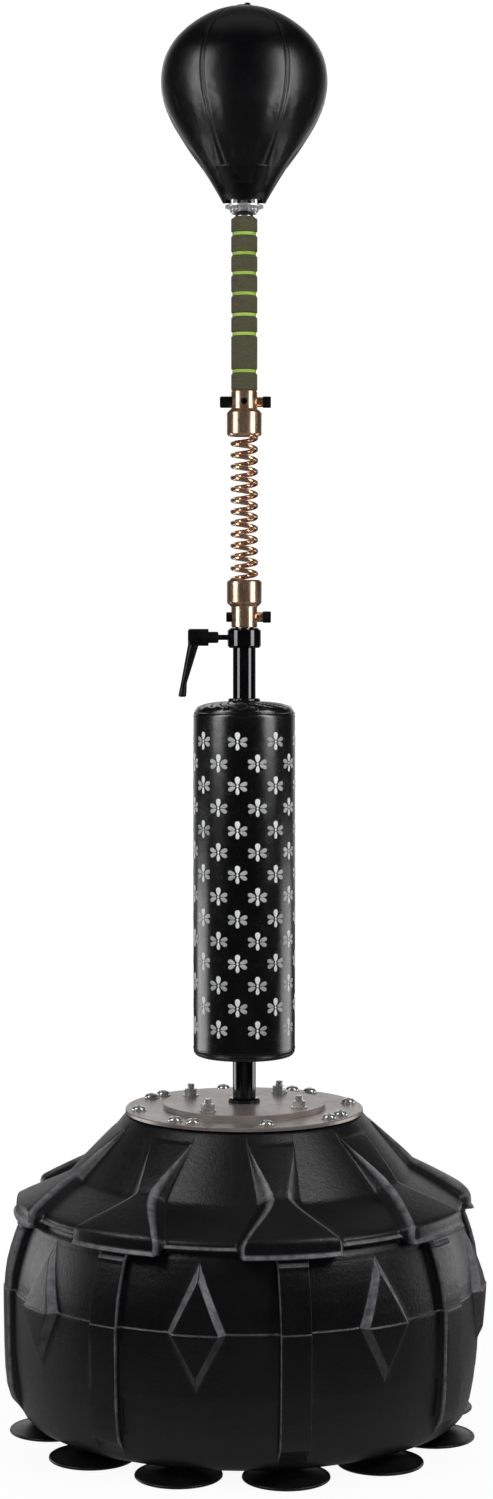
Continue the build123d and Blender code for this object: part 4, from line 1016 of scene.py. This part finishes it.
# Crown patch under the valve
PATCH_OUTLINE = (
    (0.0, 1556.2), (11.8, 1556.0), (12.6, 1557.2), (12.2, 1558.6), (10.8, 1559.1), (6.0, 1559.4),
    (0.0, 1559.5),
)
patch = turned_mesh(in_metres(PATCH_OUTLINE), 64)
crown = make_object("ball_crown_patch", *patch, materials["ball_leather"], crease=60.0)
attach(crown, "head")

# ------------------------------------------------------------------ boot
BOOT_LOW, BOOT_HIGH = 1341.5, 1377.0
BOOT_HEIGHTS = (BOOT_LOW, 1350.0, 1360.0, 1370.0, BOOT_HIGH)
BOOT_OUTSIDE, BOOT_INSIDE = (23.6, 28.2, 33.8, 39.8, 44.4), (21.6, 26.2, 31.4, 37.2, 41.6)
SCALLOPS = 4  # one for each nut


def boot_shape(grid, angles):
    """Slightly uneven top edge, hem that dips between the four nuts, soft upright creases."""
    radius = np.hypot(grid[..., 0], grid[..., 1])
    height = grid[..., 2] / MM
    low = 1.0 - smoothstep((height - BOOT_LOW) / 9.0)
    scallop = np.cos(SCALLOPS * (angles[None, :] - radians(45)))
    height = height + low * 1.3 * (1.0 + scallop)
    crease = 0.35 * np.sin(6 * (angles - SEAM_PHASE) + pi / 2) + 0.2 * np.sin(11 * angles + 1.0)
    radius = radius + crease[None, :] * MM * smoothstep((height - 1344.0) / 20.0) * 0.8
    return around(radius, angles, height * MM)


def boot_outline():
    rows = []
    for t in np.linspace(0.0, 1.0, 26):
        z = BOOT_LOW + (BOOT_HIGH - BOOT_LOW) * t
        rows.append((float(np.interp(z, BOOT_HEIGHTS, BOOT_OUTSIDE)), z))
    rows += [(44.2, BOOT_HIGH + 0.7), (43.4, BOOT_HIGH + 0.6), (42.6, BOOT_HIGH - 0.4)]
    for t in np.linspace(1.0, 0.0, 10):
        z = BOOT_LOW + 3.0 + (BOOT_HIGH - BOOT_LOW - 5.0) * t
        rows.append((float(np.interp(z, BOOT_HEIGHTS, BOOT_INSIDE)), z))
    rows += [(BOOT_INSIDE[0], BOOT_LOW + 0.6), (22.4, BOOT_LOW - 0.1)]
    return in_metres(rows)


boot_mesh = turned_mesh(boot_outline(), 144, shape=boot_shape)
boot = make_object("ball_boot_skin", *boot_mesh, materials["boot_rubber"], crease=60.0)
stand_in(boot, "boot_rubber", "head", "ball_boot")

# ------------------------------------------------------------------ camera, lights, floor
PHOTO_HEIGHT = 1499
FOCAL_PIXELS = 2657.0
CAMERA_DISTANCE = 2.934
CAMERA_HEIGHT = 0.853
SENSOR = 36.0
camera_data = bpy.data.cameras.new("camera")
camera_data.sensor_fit = "AUTO"
camera_data.sensor_width = SENSOR
camera_data.lens = FOCAL_PIXELS * SENSOR / PHOTO_HEIGHT
camera_data.shift_y = -0.0692
camera_data.shift_x = 0.0015
camera = bpy.data.objects.new("camera", camera_data)
camera.location = (0.0, -CAMERA_DISTANCE, CAMERA_HEIGHT)
camera.rotation_euler = (radians(90), 0.0, 0.0)
bpy.context.scene.collection.objects.link(camera)
bpy.context.scene.camera = camera


def softbox(name, position, aim, width, height, power):
    data = bpy.data.lights.new(name, "AREA")
    data.shape = "RECTANGLE"
    data.size = width
    data.size_y = height
    data.energy = power
    light = bpy.data.objects.new(name, data)
    light.location = position
    light.visible_camera = False
    light.rotation_euler = (Vector(aim) - Vector(position)).to_track_quat("-Z", "Y").to_euler()
    bpy.context.scene.collection.objects.link(light)
    return light


# Tall softboxes close to the object on both sides, above the tank, which stays dark in front;
# a low pair further round picks out the tank's sides. Angle from the camera's side in degrees,
# distance, height, size, watts.
for name, angle, distance, height, size, power in (
    ("softbox_left", -60.0, 1.0, 1.42, (0.42, 1.36), 8.0),
    ("softbox_right", 58.0, 1.0, 1.42, (0.42, 1.36), 8.8),
    ("kicker_left", -110.0, 1.2, 0.26, (0.8, 0.46), 2.8),
    ("kicker_right", 110.0, 1.2, 0.26, (0.8, 0.46), 2.4),
):
    spot = (sin(radians(angle)) * distance, -cos(radians(angle)) * distance, height)
    softbox(name, spot, (0.0, 0.0, height), *size, power)
front = softbox("softbox_front", (0.0, -2.6, 1.1), (0.0, 0.0, 0.8), 1.6, 2.0, 24.0)
front.visible_glossy = False  # lifts the print and the foam, not the gloss of what is black
softbox("softbox_top", (0.0, 0.3, 3.2), (0.0, 0.0, 0.3), 1.6, 1.2, 1.2)
softbox("softbox_back", (0.0, 2.8, 2.2), (0.0, 0.0, 0.6), 2.6, 1.2, 6.0)

world = bpy.data.worlds.new("studio")
world.use_nodes = True
bpy.context.scene.world = world
tree = world.node_tree
tree.nodes.clear()
direction = add_node(tree, "ShaderNodeTexCoord").outputs["Generated"]
behind = add_node(tree, "ShaderNodeSeparateXYZ", {"Vector": direction}).outputs["Y"]
glow = mapped(tree, behind, 0.012, 0.8, 0.7, 0.97)  # dark in front of the object, pale behind it
sky = add_node(tree, "ShaderNodeBackground", {"Color": (0.98, 0.99, 1.0, 1.0), "Strength": glow})
backdrop = add_node(tree, "ShaderNodeBackground", {"Color": (1.0, 1.0, 1.0, 1.0), "Strength": 1.1})
seen = add_node(tree, "ShaderNodeLightPath").outputs["Is Camera Ray"]
mixer = tree.nodes.new("ShaderNodeMixShader")
tree.links.new(seen, mixer.inputs["Fac"])
tree.links.new(sky.outputs[0], mixer.inputs[1])
tree.links.new(backdrop.outputs[0], mixer.inputs[2])
world_output = add_node(tree, "ShaderNodeOutputWorld")
tree.links.new(mixer.outputs[0], world_output.inputs["Surface"])

FLOOR_R, FLOOR_SIDES = 6.0, 96  # beyond it the white world takes over


def floor_paint():
    """Matt paint that the camera sees as the backdrop's white, with the object's soft shadow,
    and that throws a little light back at the object's foot."""
    material, tree, place = blank_material("floor_paint")
    blotches = mapped(tree, noise(tree, place, 3.0), 0.0, 1.0)
    tone = mixed_color(tree, blotches, color(84, 84, 85), color(92, 92, 92))
    fine = bumped(tree, noise(tree, place, 500.0), 0.05, 0.1 * MM)
    roughness = mapped(tree, noise(tree, place, 9.0), 0.75, 0.9)
    finish_material(material, tree, tone, roughness, fine, Specular_IOR_Level=0.2)
    shader = [n for n in tree.nodes if n.type == "BSDF_PRINCIPLED"][0]
    output = [n for n in tree.nodes if n.type == "OUTPUT_MATERIAL"][0]
    seen = add_node(tree, "ShaderNodeLightPath").outputs["Is Camera Ray"]
    away = add_node(tree, "ShaderNodeVectorMath", {0: place}, operation="LENGTH").outputs["Value"]
    bounce = mapped(tree, away, 0.24, 0.0, 0.32, 0.8)
    shown = mapped(tree, away, 0.93, 1.01, 0.5, 2.0)
    lift = mapped(tree, seen, bounce, shown, 0.0, 1.0)
    white = add_node(tree, "ShaderNodeEmission", {"Color": (1.0, 1.0, 1.0, 1.0), "Strength": lift})
    added = tree.nodes.new("ShaderNodeAddShader")
    tree.links.new(shader.outputs["BSDF"], added.inputs[0])
    tree.links.new(white.outputs[0], added.inputs[1])
    tree.links.new(added.outputs[0], output.inputs["Surface"])
    return material


floor_ring = ring_path(FLOOR_R, 0.0, FLOOR_SIDES)
floor = make_object("floor", floor_ring, [tuple(range(FLOOR_SIDES))], floor_paint())
bpy.context.scene.view_settings.view_transform = "Standard"
